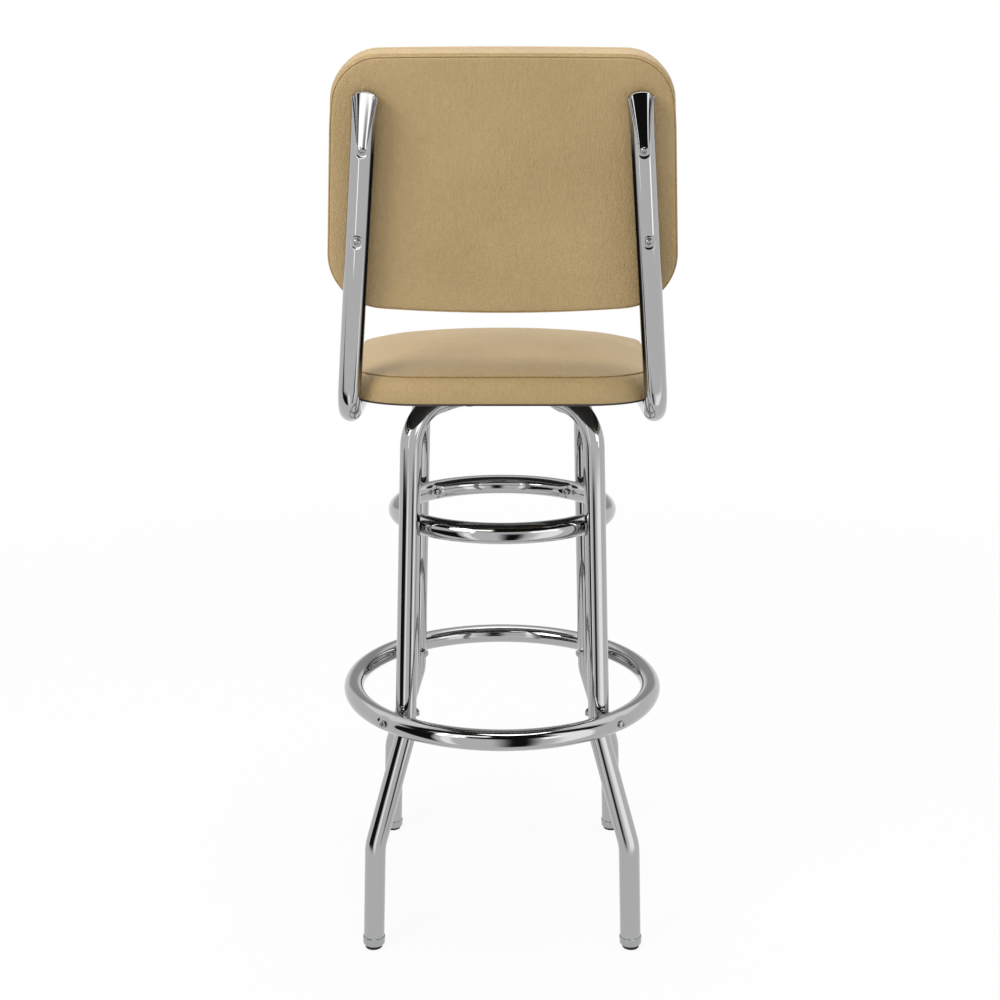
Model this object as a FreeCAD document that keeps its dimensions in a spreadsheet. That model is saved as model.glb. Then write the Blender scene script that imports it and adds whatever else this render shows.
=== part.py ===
import FreeCAD, Part
import math
import os
import Sketcher
from FreeCAD import Vector, Rotation, Placement

# Bar stool: two crossed tube frames with two rings carry a ball-race swivel,
# and the swivel carries an upholstered seat with a reclined, upholstered back
# on two bent tube posts.
# Frame: origin on the floor under the swivel axis, +Z up, the sitter faces -Y.

doc = FreeCAD.newDocument("bar_stool")

# Driving dimensions in millimetres and degrees, with what each one is
dimensions = [
    ("tube_diameter", 25.4, "outside of every bent tube"),
    ("tube_wall", 1.6, "wall of every bent tube"),
    ("touch_gap", 0.1, "between round tubes that are drawn together by a screw"),
    ("cut_overrun", 2.0, "how far a cutting tool runs past what it cuts"),
    ("frame_top_height", 668.0, "centre of the frame tube under the seat"),
    ("frame_top_radius", 149.9, "from the axis to the corner of the frame line"),
    ("frame_bend_radius", 50.0, "centre line of the bend under the seat"),
    ("knee_bend_radius", 46.0, "centre line of both knee bends"),
    ("upper_knee_height", 264.0, "where the leg starts to spread"),
    ("upper_knee_radius", 167.6, "from the axis to the upper knee"),
    ("lower_knee_height", 134.0, "where the leg turns down again"),
    ("lower_knee_radius", 219.2, "from the axis to the lower knee"),
    ("foot_radius", 225.1, "from the axis to the leg line at the floor"),
    ("leg_end_height", 5.0, "end of the leg tube above the floor"),
    ("press_drop", 0.5, "where the pressed middles meet, below the tube's centre"),
    ("press_thickness", 6.5, "height of the pressed middle of a frame tube"),
    ("press_width", 36.0, "width of the pressed middle of a frame tube"),
    ("press_half_length", 77.0, "from the axis to the end of the pressed middle"),
    ("upper_ring_height", 522.0, "centre of the ring inside the legs"),
    ("foot_ring_height", 288.0, "centre of the foot ring outside the legs"),
    ("ring_screw_diameter", 6.0, "screws that hold the rings"),
    ("ring_screw_head", 10.0, "head of a ring screw"),
    ("ring_screw_rise", 3.0, "height of a ring screw's domed head"),
    ("ring_nut_width", 10.0, "cap nut of a ring screw"),
    ("ring_nut_height", 5.5, "cap nut of a ring screw"),
    ("nut_seat", 0.5, "flat pressed into the leg under a foot ring nut"),
    ("hole_play", 0.5, "a screw hole over its screw, on the diameter"),
    ("cap_wall", 0.8, "wall of the glide cap"),
    ("cap_height", 11.0, "height of the glide cap"),
    ("cap_edge", 2.2, "rounding at the foot of the glide cap"),
    ("cap_fit", 0.05, "between glide cap and leg tube"),
    ("pad_diameter", 21.0, "glide pad on the floor"),
    ("pad_height", 3.0, "glide pad"),
    ("pad_edge", 0.8, "rounding of the glide pad"),
    ("pad_stem_diameter", 8.0, "stem of the glide pad"),
    ("pad_stem_height", 3.2, "stem of the glide pad above the pad"),
    ("plate_thickness", 2.5, "swivel plates"),
    ("lower_plate_width", 112.0, "lower swivel plate, square"),
    ("upper_plate_width", 150.0, "upper swivel plate, square"),
    ("plate_corner", 12.0, "corner radius of the swivel plates"),
    ("plate_space", 7.0, "between the swivel plates"),
    ("frame_bolt_spread", 40.0, "frame bolts from each centre plane"),
    ("frame_bolt_diameter", 6.0, "frame bolts"),
    ("frame_bolt_head", 12.0, "low round head of a frame bolt"),
    ("frame_bolt_rise", 2.6, "low round head of a frame bolt"),
    ("frame_nut_width", 10.0, "across the flats of a frame nut"),
    ("frame_nut_height", 3.0, "thin frame nut"),
    ("frame_bolt_tail", 0.3, "bolt beyond its nut"),
    ("sleeve_diameter", 14.0, "spacer sleeve under the lower plate"),
    ("race_radius", 36.0, "centre of the ball race"),
    ("ball_diameter", 6.4, "swivel balls"),
    ("ball_count", 16, "swivel balls"),
    ("cage_thickness", 2.0, "ball cage"),
    ("cage_width", 16.0, "ball cage"),
    ("pocket_play", 0.4, "cage pocket over the ball, on the diameter"),
    ("rivet_diameter", 16.0, "hollow centre rivet"),
    ("rivet_bore", 11.0, "hollow centre rivet"),
    ("rivet_head", 22.0, "rolled head of the centre rivet"),
    ("rivet_head_rise", 1.8, "rolled head of the centre rivet"),
    ("rivet_fit", 0.05, "running fit of the upper plate on the rivet, radial"),
    ("rivet_lift", 0.2, "between upper plate and rolled head"),
    ("centre_hole", 25.0, "hole in frames and seat board around the rivet heads"),
    ("plate_screw_reach", 65.0, "seat plate screws from the axis"),
    ("plate_screw_diameter", 5.0, "seat plate screws"),
    ("plate_screw_head", 10.0, "seat plate screws"),
    ("plate_screw_rise", 2.2, "seat plate screws"),
    ("plate_screw_bite", 10.0, "how far a seat plate screw goes into the board"),
    ("seat_rear", 207.0, "rear edge of the seat from the axis"),
    ("seat_front", 200.0, "front edge of the seat from the axis"),
    ("seat_rear_half", 168.0, "half width of the seat outline at the rear"),
    ("seat_front_half", 191.0, "half width of the seat outline at the front"),
    ("seat_rear_corner", 80.0, "rear corner radius of the seat"),
    ("seat_front_corner", 90.0, "front corner radius of the seat"),
    ("seat_board_thickness", 12.0, "plywood seat board"),
    ("seat_seam_rise", 31.0, "seam of the top panel above the seat's lower edge"),
    ("seat_crown_rise", 56.0, "crown of the seat above its lower edge"),
    ("seat_crown_drop", 13.0, "fall of the crown at the seat's edge"),
    ("seat_roll", 10.0, "rounded edge of the seat top"),
    ("vinyl", 1.2, "thickness of the upholstery vinyl"),
    ("band_edge", 3.0, "rounded lower edge of the seat"),
    ("seam_draw", 1.0, "how far the vinyl is drawn in at a seam"),
    ("hem_thickness", 1.0, "vinyl folded under a board"),
    ("hem_width", 24.0, "vinyl folded under a board"),
    ("foam_gap", 0.3, "between foam or board and the vinyl around it"),
    ("recline_angle", 16.0, "post and back from upright"),
    ("run_half_spread", 171.5, "from the centre plane to the post's run"),
    ("run_front", 128.0, "front end of the post's run, ahead of the axis"),
    ("post_corner_reach", 182.0, "corner of the post's line behind the axis"),
    ("post_bend_radius", 45.0, "centre line of the post's bend"),
    ("post_draw_in", 35.5, "how far the post leans inward at its top"),
    ("post_top_rise", 343.0, "top of the post above the centre of the frame tube"),
    ("post_bolt_front", 95.0, "front post bolt ahead of the axis"),
    ("post_bolt_rear", 2.0, "rear post bolt behind the axis"),
    ("post_bolt_diameter", 6.0, "bolts that hold the post's run"),
    ("post_bolt_head", 12.0, "bolts that hold the post's run"),
    ("post_bolt_rise", 3.0, "bolts that hold the post's run"),
    ("scoop_length", 58.0, "pressed scoop at the post's top"),
    ("scoop_wall", 3.2, "both walls pressed together"),
    ("scoop_flare", 1.5, "how far each side spreads at the top"),
    ("scoop_arch", 4.0, "rise of the arched top edge"),
    ("back_bottom_rise", 123.5, "lower edge of the rear panel above the centre of the frame tube"),
    ("back_height", 267.0, "outline of the back along its slope"),
    ("back_sag", 5.0, "bow of the back's lower edge"),
    ("back_bottom_half", 189.5, "half width of the back's outline at the bottom"),
    ("back_top_half", 170.0, "half width of the back's outline at the top"),
    ("back_top_corner", 50.0, "top corner radius of the back"),
    ("back_bottom_corner", 58.0, "bottom corner radius of the back"),
    ("back_thickness", 51.0, "back at its crown"),
    ("back_crown_drop", 9.0, "fall of the crown at the back's edge"),
    ("back_roll", 15.0, "rounded front edge of the back"),
    ("back_rear_roll", 3.0, "rounded rear edge of the back"),
    ("back_board_thickness", 12.0, "plywood back board"),
    ("rear_panel_thickness", 2.0, "rear panel, vinyl over hardboard"),
    ("rear_panel_inset", 3.0, "rear panel inside the back's outline"),
    ("back_screw_low", 83.0, "lower back screws above the back's lower edge"),
    ("back_screw_high", 178.0, "upper back screws above the back's lower edge"),
    ("back_screw_diameter", 5.0, "back screws"),
    ("back_screw_head", 8.0, "back screws"),
    ("back_screw_rise", 2.4, "back screws"),
    ("spot_diameter", 14.0, "flat pressed into a post under a screw"),
    ("spot_depth", 1.2, "how deep a tube is pressed flat under a screw"),
    ("tee_barrel", 8.0, "barrel of a tee nut"),
    ("tee_flange", 10.5, "flange of a tee nut"),
    ("tee_flange_thickness", 1.2, "flange of a tee nut"),
    ("tee_barrel_length", 9.0, "barrel of a tee nut"),
    ("plug_length", 14.0, "plug in the run's open end"),
    ("plug_rim", 3.0, "rim of the plug outside the tube"),
    ("plug_fit", 0.05, "between plug and tube bore"),
]

sheet = doc.addObject("Spreadsheet::Sheet", "Sizes")
sheet.set("A1", "size")
sheet.set("B1", "value")
sheet.set("C1", "note")
firstRow = 2
for row, (alias, value, note) in enumerate(dimensions, start=firstRow):
    sheet.set("A%d" % row, alias)
    sheet.set("B%d" % row, str(value))
    sheet.set("C%d" % row, note)
    sheet.setAlias("B%d" % row, alias)
doc.recompute()


# Helpers


def size(name):
    return float(sheet.get(name))


def measure(expression):
    return float(sheet.evalExpression(expression))


def plane(body, role):
    return next(item for item in body.Origin.OriginFeatures if item.Role == role)


def newBody(label):
    body = doc.addObject("PartDesign::Body", label)
    body.Label = label
    return body


def sketchOn(body, role, name):
    sketch = body.newObject("Sketcher::SketchObject", name)
    sketch.AttachmentSupport = [(plane(body, role), "")]
    sketch.MapMode = "FlatFace"
    return sketch


def bindPoint(sketch, geometry, vertex, x, y):
    # ties one end of a line, or the centre of a circle, to two expressions
    for kind, expression in (("DistanceX", x), ("DistanceY", y)):
        rule = Sketcher.Constraint(kind, -1, 1, geometry, vertex, measure(expression))
        index = sketch.addConstraint(rule)
        sketch.setExpression("Constraints[%d]" % index, expression)


def drawPolygon(sketch, corners):
    # closed outline through corners, each given by two expressions
    points = [Vector(measure(x), measure(y), 0) for x, y in corners]
    start = sketch.GeometryCount
    count = len(points)
    for i in range(count):
        sketch.addGeometry(Part.LineSegment(points[i], points[(i + 1) % count]), False)
    for i in range(count):
        following = start + (i + 1) % count
        sketch.addConstraint(Sketcher.Constraint("Coincident", start + i, 2, following, 1))
    for i, (x, y) in enumerate(corners):
        bindPoint(sketch, start + i, 1, x, y)


def drawCircle(sketch, x, y, diameter):
    middle = Vector(measure(x), measure(y), 0)
    radius = measure(diameter) / 2
    geometry = sketch.addGeometry(Part.Circle(middle, Vector(0, 0, 1), radius), False)
    index = sketch.addConstraint(Sketcher.Constraint("Diameter", geometry, measure(diameter)))
    sketch.setExpression("Constraints[%d]" % index, diameter)
    bindPoint(sketch, geometry, 3, x, y)


def pad(body, sketch, length, name="Pad"):
    feature = body.newObject("PartDesign::Pad", name)
    feature.Profile = sketch
    feature.setExpression("Length", length)
    sketch.Visibility = False
    doc.recompute()
    return feature


def roundEdges(body, base, chosen, radius, name="Round"):
    # fillets the edges of the base feature for which chosen(edge) is true
    edges = base.Shape.Edges
    names = ["Edge%d" % (i + 1) for i, edge in enumerate(edges) if chosen(edge)]
    if not names:
        raise RuntimeError("no edge to round in %s" % body.Label)
    feature = body.newObject("PartDesign::Fillet", name)
    feature.Base = (base, names)
    feature.setExpression("Radius", radius)
    doc.recompute()
    return feature


def isUpright(edge):
    ends = [vertex.Point for vertex in edge.Vertexes]
    if len(ends) != 2:
        return False
    run = ends[1] - ends[0]
    return abs(run.x) + abs(run.y) < edge.Length * upright_share


def aroundAxis(body, originals, count, name="Around"):
    # without originals, the whole body so far is repeated
    pattern = body.newObject("PartDesign::PolarPattern", name)
    if originals:
        pattern.Originals = originals
    else:
        pattern.TransformMode = "Whole shape"
    pattern.Axis = (plane(body, "Z_Axis"), [""])
    pattern.Angle = full_turn
    pattern.setExpression("Occurrences", count)
    body.Tip = pattern
    doc.recompute()
    return pattern


def primitive(body, kind, name, rules, turn=None):
    # a solid primitive of the body, its sizes and place bound to the sheet
    item = body.newObject("PartDesign::" + kind, name)
    if turn is not None:
        item.Placement = Placement(Vector(), turn)
    for field, expression in rules.items():
        item.setExpression(field, expression)
    doc.recompute()
    return item


def plainFeature(label, shape, placement=None):
    item = doc.addObject("Part::Feature", label)
    item.Label = label
    item.Shape = shape
    if placement is not None:
        item.Placement = placement
    return item


def roundedWire(points, radii, closed=False):
    # straight runs joined by tangent arcs; radii follow the points that are rounded
    count = len(points)
    edges = []
    if closed:
        inner = list(range(count))
    else:
        inner = list(range(1, count - 1))
    arcs = {}
    for i, radius in zip(inner, radii):
        corner = points[i]
        back = (points[i - 1] - corner).normalize()
        ahead = (points[(i + 1) % count] - corner).normalize()
        half = math.acos(max(-1, min(1, back.dot(ahead)))) / 2
        reach = radius / math.tan(half)
        toMiddle = (back + ahead).normalize()
        middle = corner + toMiddle * (radius / math.sin(half) - radius)
        arcs[i] = (corner + back * reach, middle, corner + ahead * reach)
    order = list(range(count)) + ([0] if closed else [])
    here = arcs[0][2] if closed else points[0]
    for i in order[1:]:
        if i in arcs:
            first, middle, last = arcs[i]
        else:
            first, middle, last = points[i], None, points[i]
        if here.distanceToPoint(first) > touching:
            edges.append(Part.LineSegment(here, first).toShape())
        if middle is not None:
            edges.append(Part.Arc(first, middle, last).toShape())
        here = last
    return Part.Wire(edges)


def frameAt(place, sideways, upward):
    # placement whose X runs sideways, whose Y runs upward and whose Z is their cross
    forward = sideways.cross(upward)
    matrix = FreeCAD.Matrix(
        sideways.x, upward.x, forward.x, place.x,
        sideways.y, upward.y, forward.y, place.y,
        sideways.z, upward.z, forward.z, place.z,
        0, 0, 0, 1)
    return Placement(matrix)


def ringCurve(radius):
    return Part.Wire([Part.Circle(Vector(), Vector(0, 0, 1), radius).toShape()])


def ovalCurve(halfWidth, halfHeight):
    oval = Part.Ellipse(Vector(halfWidth, 0, 0), Vector(0, halfHeight, 0), Vector())
    return Part.Wire([oval.toShape()])


def sweepRound(path, radius):
    start = path.Edges[0]
    heading = start.tangentAt(start.FirstParameter)
    circle = Part.Circle(start.valueAt(start.FirstParameter), heading, radius)
    return path.makePipeShell([Part.Wire([circle.toShape()])], True, False)


def rod(place, heading, radius, length):
    return Part.makeCylinder(radius, length, place, heading)


def domedStud(place, heading, shankRadius, shankLength, headRadius, headRise):
    # screw: the shank runs along heading from place, the domed head stands the other way
    top = place - heading * headRise
    head = rod(top, heading, headRadius, headRise)
    rim = [edge for edge in head.Edges if edge.CenterOfMass.distanceToPoint(top) < touching]
    head = head.makeFillet(headRise * dome_share, rim)
    return head.fuse(rod(place, heading, shankRadius, shankLength))


def teeNut(place, heading, screw):
    # flange at place, barrel along heading, threaded on a screw of this diameter
    barrel = rod(place, heading, size("tee_barrel") / 2, size("tee_barrel_length"))
    flange = rod(place, heading, size("tee_flange") / 2, size("tee_flange_thickness"))
    thread = rod(place - heading * overrun, heading, screw / 2,
                 size("tee_barrel_length") + 2 * overrun)
    return barrel.fuse(flange).removeSplitter().cut(thread)


overrun = size("cut_overrun")
touching = size("touch_gap") / 10
upright_share = 0.001
full_turn = 360
quarter_turn = 90
eighth_turn = 45
dome_share = 0.7
half_share = 0.5
leg_count = "4"
quarters = [(1, 0), (0, 1), (-1, 0), (0, -1)]

# Levels and radii that several pieces share

tube_radius = size("tube_diameter") / 2
bore_radius = tube_radius - size("tube_wall")
meeting_level = "(Sizes.frame_top_height - Sizes.press_drop)"
plate_base = "(%s + Sizes.press_thickness)" % meeting_level
plate_top = "(%s + Sizes.plate_thickness)" % plate_base
upper_plate_base = "(%s + Sizes.plate_space)" % plate_top
seat_base = "(%s + Sizes.plate_thickness)" % upper_plate_base
lean_share = ("(Sizes.upper_knee_radius - Sizes.frame_top_radius)"
              " / (Sizes.frame_top_height - Sizes.upper_knee_height)")
leg_at_upper_ring = ("(Sizes.frame_top_radius + (Sizes.frame_top_height"
                     " - Sizes.upper_ring_height) * %s)" % lean_share)
leg_at_foot_ring = ("(Sizes.frame_top_radius + (Sizes.frame_top_height"
                    " - Sizes.foot_ring_height) * %s)" % lean_share)
upper_ring_radius = "(%s - Sizes.tube_diameter - Sizes.touch_gap)" % leg_at_upper_ring
foot_ring_radius = "(%s + Sizes.tube_diameter + Sizes.touch_gap)" % leg_at_foot_ring
tube_half = "Sizes.tube_diameter / 2"
head_seat = "Sizes.spot_depth"
radial = Rotation(Vector(0, 1, 0), quarter_turn)
onLegs = Rotation(Vector(0, 0, 1), eighth_turn)
nowhere = "0 * Sizes.race_radius"
pieces = []


# Crossed leg frames: each is one tube bent into an inverted U, pressed flat in the middle


def frameTube(pressedLevel):
    top = size("frame_top_height")
    foot = Vector(size("foot_radius"), 0, 0)
    lowKnee = Vector(size("lower_knee_radius"), 0, size("lower_knee_height"))
    highKnee = Vector(size("upper_knee_radius"), 0, size("upper_knee_height"))
    corner = Vector(size("frame_top_radius"), 0, top)
    legEnd = foot + (lowKnee - foot) * (size("leg_end_height") / size("lower_knee_height"))
    knee = size("knee_bend_radius")
    bend = size("frame_bend_radius")
    turn = math.pi - (highKnee - corner).getAngle(Vector(-1, 0, 0))
    bendEnd = corner - Vector(bend * math.tan(turn / 2), 0, 0)
    path = roundedWire([legEnd, lowKnee, highKnee, corner, bendEnd], [knee, knee, bend])
    reach = size("press_half_length")

    def tube(radius, halfWidth, halfHeight):
        leg = sweepRound(path, radius)
        round = ringCurve(radius)
        round.Placement = frameAt(bendEnd, Vector(0, 1, 0), Vector(0, 0, 1))
        oval = ovalCurve(halfWidth, halfHeight)
        oval.Placement = frameAt(Vector(reach, 0, pressedLevel), Vector(0, 1, 0), Vector(0, 0, 1))
        neck = Part.makeLoft([round, oval], True)
        side = leg.fuse(neck)
        other = side.copy()
        other.rotate(Vector(), Vector(0, 0, 1), full_turn / 2)
        bar = ovalCurve(halfWidth, halfHeight)
        bar.Placement = frameAt(Vector(-reach, 0, pressedLevel), Vector(0, 1, 0), Vector(0, 0, 1))
        middle = Part.Face(bar).extrude(Vector(2 * reach, 0, 0))
        return side.fuse([other, middle])

    wall = size("tube_wall")
    halfWidth = size("press_width") / 2
    halfHeight = size("press_thickness") / 2 * press_fullness_share
    outer = tube(tube_radius, halfWidth, halfHeight)
    inner = tube(bore_radius, halfWidth - wall, halfHeight - wall)
    shape = outer.cut(inner)
    # both faces of the pressed middle are flat, where the frames and the plate meet
    thickness = size("press_thickness")
    for level in (pressedLevel + thickness / 2, pressedLevel - thickness / 2 - overrun):
        block = Part.makeBox(2 * reach, 2 * halfWidth, overrun,
                             Vector(-reach, -halfWidth, level))
        shape = shape.cut(block)
    # screw holes of both rings, bolt holes of the swivel and the hole for the rivet head
    play = size("hole_play")
    for sign in (1, -1):
        outward = Vector(sign, 0, 0)
        atRing = Vector(sign * measure(leg_at_upper_ring), 0, size("upper_ring_height"))
        drill = (size("ring_screw_diameter") + play) / 2
        shape = shape.cut(rod(atRing, -outward, drill, size("tube_diameter")))
        atFoot = Vector(sign * measure(leg_at_foot_ring), 0, size("foot_ring_height"))
        shape = shape.cut(rod(atFoot - outward * size("tube_diameter"), outward, drill,
                              2 * size("tube_diameter")))
        nutFlat = size("ring_nut_width") / math.sqrt(3) + size("touch_gap")
        shape = shape.cut(rod(atFoot - outward * (tube_radius + overrun), outward, nutFlat,
                              overrun + size("nut_seat")))
        bolt = (size("frame_bolt_diameter") + play) / 2
        place = Vector(sign * size("frame_bolt_spread") * math.sqrt(2), 0, pressedLevel - thickness)
        shape = shape.cut(rod(place, Vector(0, 0, 1), bolt, 2 * thickness))
    hole = rod(Vector(0, 0, pressedLevel - thickness), Vector(0, 0, 1),
               size("centre_hole") / 2, 2 * thickness)
    return shape.cut(hole)


press_fullness_share = 1.12
halfPress = size("press_thickness") / 2
lowerFrame = plainFeature(
    "leg_frame_lower", frameTube(measure(meeting_level) - halfPress), Placement(Vector(), onLegs))
upperFrame = plainFeature(
    "leg_frame_upper", frameTube(measure(meeting_level) + halfPress),
    Placement(Vector(), Rotation(Vector(0, 0, 1), -eighth_turn)))
pieces += [lowerFrame, upperFrame]


# Rings, with a flat pressed where each screw head sits


def ringBody(label, radius, height, outside):
    body = newBody(label)
    body.Placement = Placement(Vector(), onLegs)
    body.setExpression("Placement.Base.z", "Sizes." + height)
    primitive(body, "AdditiveTorus", "Tube", {"Radius1": radius, "Radius2": tube_half})
    primitive(body, "SubtractiveTorus", "Bore",
              {"Radius1": radius, "Radius2": tube_half + " - Sizes.tube_wall"})
    holeStart = "(%s - %s - Sizes.cut_overrun)" % (radius, tube_half)
    flatStart = "(%s + %s - %s)" % (radius, tube_half, head_seat) if outside else holeStart
    for x, y in quarters:
        outward = Rotation(Vector(0, 0, 1), Vector(x, y, 0))
        primitive(body, "SubtractiveCylinder", "ScrewHole", {
            "Radius": "(Sizes.ring_screw_diameter + Sizes.hole_play) / 2",
            "Height": "Sizes.tube_diameter + 2 * Sizes.cut_overrun",
            "Placement.Base.x": "%d * %s" % (x, holeStart),
            "Placement.Base.y": "%d * %s" % (y, holeStart)}, outward)
        primitive(body, "SubtractiveCylinder", "ScrewFlat", {
            "Radius": "Sizes.ring_screw_head / 2 + Sizes.touch_gap",
            "Height": "Sizes.cut_overrun + " + head_seat,
            "Placement.Base.x": "%d * %s" % (x, flatStart),
            "Placement.Base.y": "%d * %s" % (y, flatStart)}, outward)
    return body


upperRing = ringBody("upper_ring", upper_ring_radius, "upper_ring_height", False)
footRing = ringBody("foot_ring", foot_ring_radius, "foot_ring_height", True)
pieces += [upperRing, footRing]


def ringScrews(label, height, headFace, tip, outside):
    # headFace and tip are radii from the axis; the head stands on the headFace side
    body = newBody(label)
    body.Placement = Placement(Vector(), onLegs)
    body.setExpression("Placement.Base.z", "Sizes." + height)
    if outside:
        shankStart, length = tip, "%s - (%s)" % (headFace, tip)
        headStart = headFace
    else:
        shankStart, length = headFace, "%s - (%s)" % (tip, headFace)
        headStart = "%s - Sizes.ring_screw_rise" % headFace
    primitive(body, "AdditiveCylinder", "Shank", {
        "Radius": "Sizes.ring_screw_diameter / 2",
        "Height": length,
        "Placement.Base.x": shankStart}, radial)
    head = primitive(body, "AdditiveCylinder", "Head", {
        "Radius": "Sizes.ring_screw_head / 2",
        "Height": "Sizes.ring_screw_rise",
        "Placement.Base.x": headStart}, radial)
    far = measure(headStart) + (size("ring_screw_rise") if outside else 0)
    rim = size("ring_screw_head") / 2

    def onTop(edge):
        curve = edge.Curve
        round = hasattr(curve, "Radius") and abs(curve.Radius - rim) < touching
        return round and abs(edge.BoundBox.XMin - far) < touching

    roundEdges(body, head, onTop, "Sizes.ring_screw_rise * %s" % dome_share)
    aroundAxis(body, [], leg_count)
    return body


upperScrews = ringScrews(
    "upper_ring_screws", "upper_ring_height",
    "(%s - %s + %s)" % (upper_ring_radius, tube_half, head_seat),
    leg_at_upper_ring, False)
footScrews = ringScrews(
    "foot_ring_screws", "foot_ring_height",
    "(%s + %s - %s)" % (foot_ring_radius, tube_half, head_seat),
    "(%s - %s - Sizes.ring_nut_height)" % (leg_at_foot_ring, tube_half), True)
pieces += [upperScrews, footScrews]

footNuts = newBody("foot_ring_nuts")
footNuts.Placement = Placement(Vector(), onLegs)
footNuts.setExpression("Placement.Base.z", "Sizes.foot_ring_height")
nutStart = ("%s - %s + Sizes.nut_seat - Sizes.ring_nut_height"
            % (leg_at_foot_ring, tube_half))
primitive(footNuts, "AdditivePrism", "Hexagon", {
    "Circumradius": "Sizes.ring_nut_width / sqrt(3)",
    "Height": "Sizes.ring_nut_height",
    "Placement.Base.x": nutStart}, radial)
primitive(footNuts, "SubtractiveCylinder", "Thread", {
    "Radius": "Sizes.ring_screw_diameter / 2",
    "Height": "Sizes.ring_nut_height + 2 * Sizes.cut_overrun",
    "Placement.Base.x": nutStart + " - Sizes.cut_overrun"}, radial)
aroundAxis(footNuts, [], leg_count)
pieces.append(footNuts)


# Feet: a pressed cap over each tube end, and a glide pad that tilts on its stem


def glideCaps():
    foot = Vector(size("foot_radius"), 0, 0)
    knee = Vector(size("lower_knee_radius"), 0, size("lower_knee_height"))
    tubeEnd = foot + (knee - foot) * (size("leg_end_height") / size("lower_knee_height"))
    upward = (knee - foot).normalize()
    wall = size("cap_wall")
    inside = tube_radius + size("cap_fit")
    outside = inside + wall
    edge = size("cap_edge")
    top = size("cap_height")
    hole = size("pad_stem_diameter") / 2 + size("foam_gap")
    turned = edge * (1 - math.sqrt(half_share))
    bend = Part.Arc(Vector(outside - edge, 0, 0), Vector(outside - turned, 0, turned),
                    Vector(outside, 0, edge)).toShape()
    corners = [Vector(outside, 0, edge), Vector(outside, 0, top), Vector(inside, 0, top),
               Vector(inside, 0, wall), Vector(hole, 0, wall), Vector(hole, 0, 0),
               Vector(outside - edge, 0, 0)]
    runs = [Part.LineSegment(a, b).toShape() for a, b in zip(corners, corners[1:])]
    face = Part.Face(Part.Wire([bend] + runs))
    cap = face.revolve(Vector(), Vector(0, 0, 1), full_turn)
    cap.Placement = Placement(tubeEnd - upward * wall, Rotation(Vector(0, 0, 1), upward))
    return fourOnLegs(cap)


def fourOnLegs(shape):
    copies = []
    for i in range(int(leg_count)):
        copy = shape.copy()
        copy.rotate(Vector(), Vector(0, 0, 1), eighth_turn + i * quarter_turn)
        copies.append(copy)
    return Part.makeCompound(copies)


pieces.append(plainFeature("glide_caps", glideCaps()))

pads = newBody("glide_pads")
pads.Placement = Placement(Vector(), onLegs)
disc = primitive(pads, "AdditiveCylinder", "Disc", {
    "Radius": "Sizes.pad_diameter / 2",
    "Height": "Sizes.pad_height",
    "Placement.Base.x": "Sizes.foot_radius"})
roundEdges(pads, disc, lambda edge: hasattr(edge.Curve, "Radius"), "Sizes.pad_edge")
primitive(pads, "AdditiveCylinder", "Stem", {
    "Radius": "Sizes.pad_stem_diameter / 2",
    "Height": "Sizes.pad_height + Sizes.pad_stem_height",
    "Placement.Base.x": "Sizes.foot_radius"})
aroundAxis(pads, [], leg_count)
pieces.append(pads)


# Swivel: two plates with a ball race between them, held together by a hollow rivet


def squarePlate(label, width, base, centreHole, holes):
    body = newBody(label)
    sketch = sketchOn(body, "XY_Plane", "Outline")
    side = "Sizes.%s / 2" % width
    drawPolygon(sketch, [(side, side), ("-" + side, side), ("-" + side, "-" + side),
                         (side, "-" + side)])
    drawCircle(sketch, nowhere, nowhere, centreHole)
    for x, y, diameter in holes:
        drawCircle(sketch, x, y, diameter)
    plate = pad(body, sketch, "Sizes.plate_thickness")
    roundEdges(body, plate, isUpright, "Sizes.plate_corner")
    body.setExpression("Placement.Base.z", base)
    return body


boltHole = "Sizes.frame_bolt_diameter + Sizes.hole_play"
spread = "Sizes.frame_bolt_spread"
lowerPlate = squarePlate(
    "swivel_lower_plate", "lower_plate_width", plate_base, "Sizes.rivet_diameter",
    [(x + spread, y + spread, boltHole) for x in ("", "-") for y in ("", "-")])
screwHole = "Sizes.plate_screw_diameter + Sizes.hole_play"
screwReach = "Sizes.plate_screw_reach"
upperPlate = squarePlate(
    "swivel_upper_plate", "upper_plate_width", upper_plate_base,
    "Sizes.rivet_diameter + 2 * Sizes.rivet_fit",
    [(screwReach, nowhere, screwHole), ("-" + screwReach, nowhere, screwHole),
     (nowhere, screwReach, screwHole), (nowhere, "-" + screwReach, screwHole)])

rivet = newBody("swivel_rivet")
primitive(rivet, "AdditiveCylinder", "Neck", {
    "Radius": "Sizes.rivet_diameter / 2",
    "Height": "%s - %s + Sizes.rivet_lift + 2 * Sizes.rivet_head_rise" % (seat_base, plate_base),
    "Placement.Base.z": "%s - Sizes.rivet_head_rise" % plate_base})
for name, level in (("LowerHead", "%s - Sizes.rivet_head_rise" % plate_base),
                    ("UpperHead", "%s + Sizes.rivet_lift" % seat_base)):
    primitive(rivet, "AdditiveCylinder", name, {
        "Radius": "Sizes.rivet_head / 2",
        "Height": "Sizes.rivet_head_rise",
        "Placement.Base.z": level})
primitive(rivet, "SubtractiveCylinder", "Bore", {
    "Radius": "Sizes.rivet_bore / 2",
    "Height": "%s - %s + 4 * Sizes.rivet_head_rise" % (seat_base, plate_base),
    "Placement.Base.z": "%s - 2 * Sizes.rivet_head_rise" % plate_base})

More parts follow.
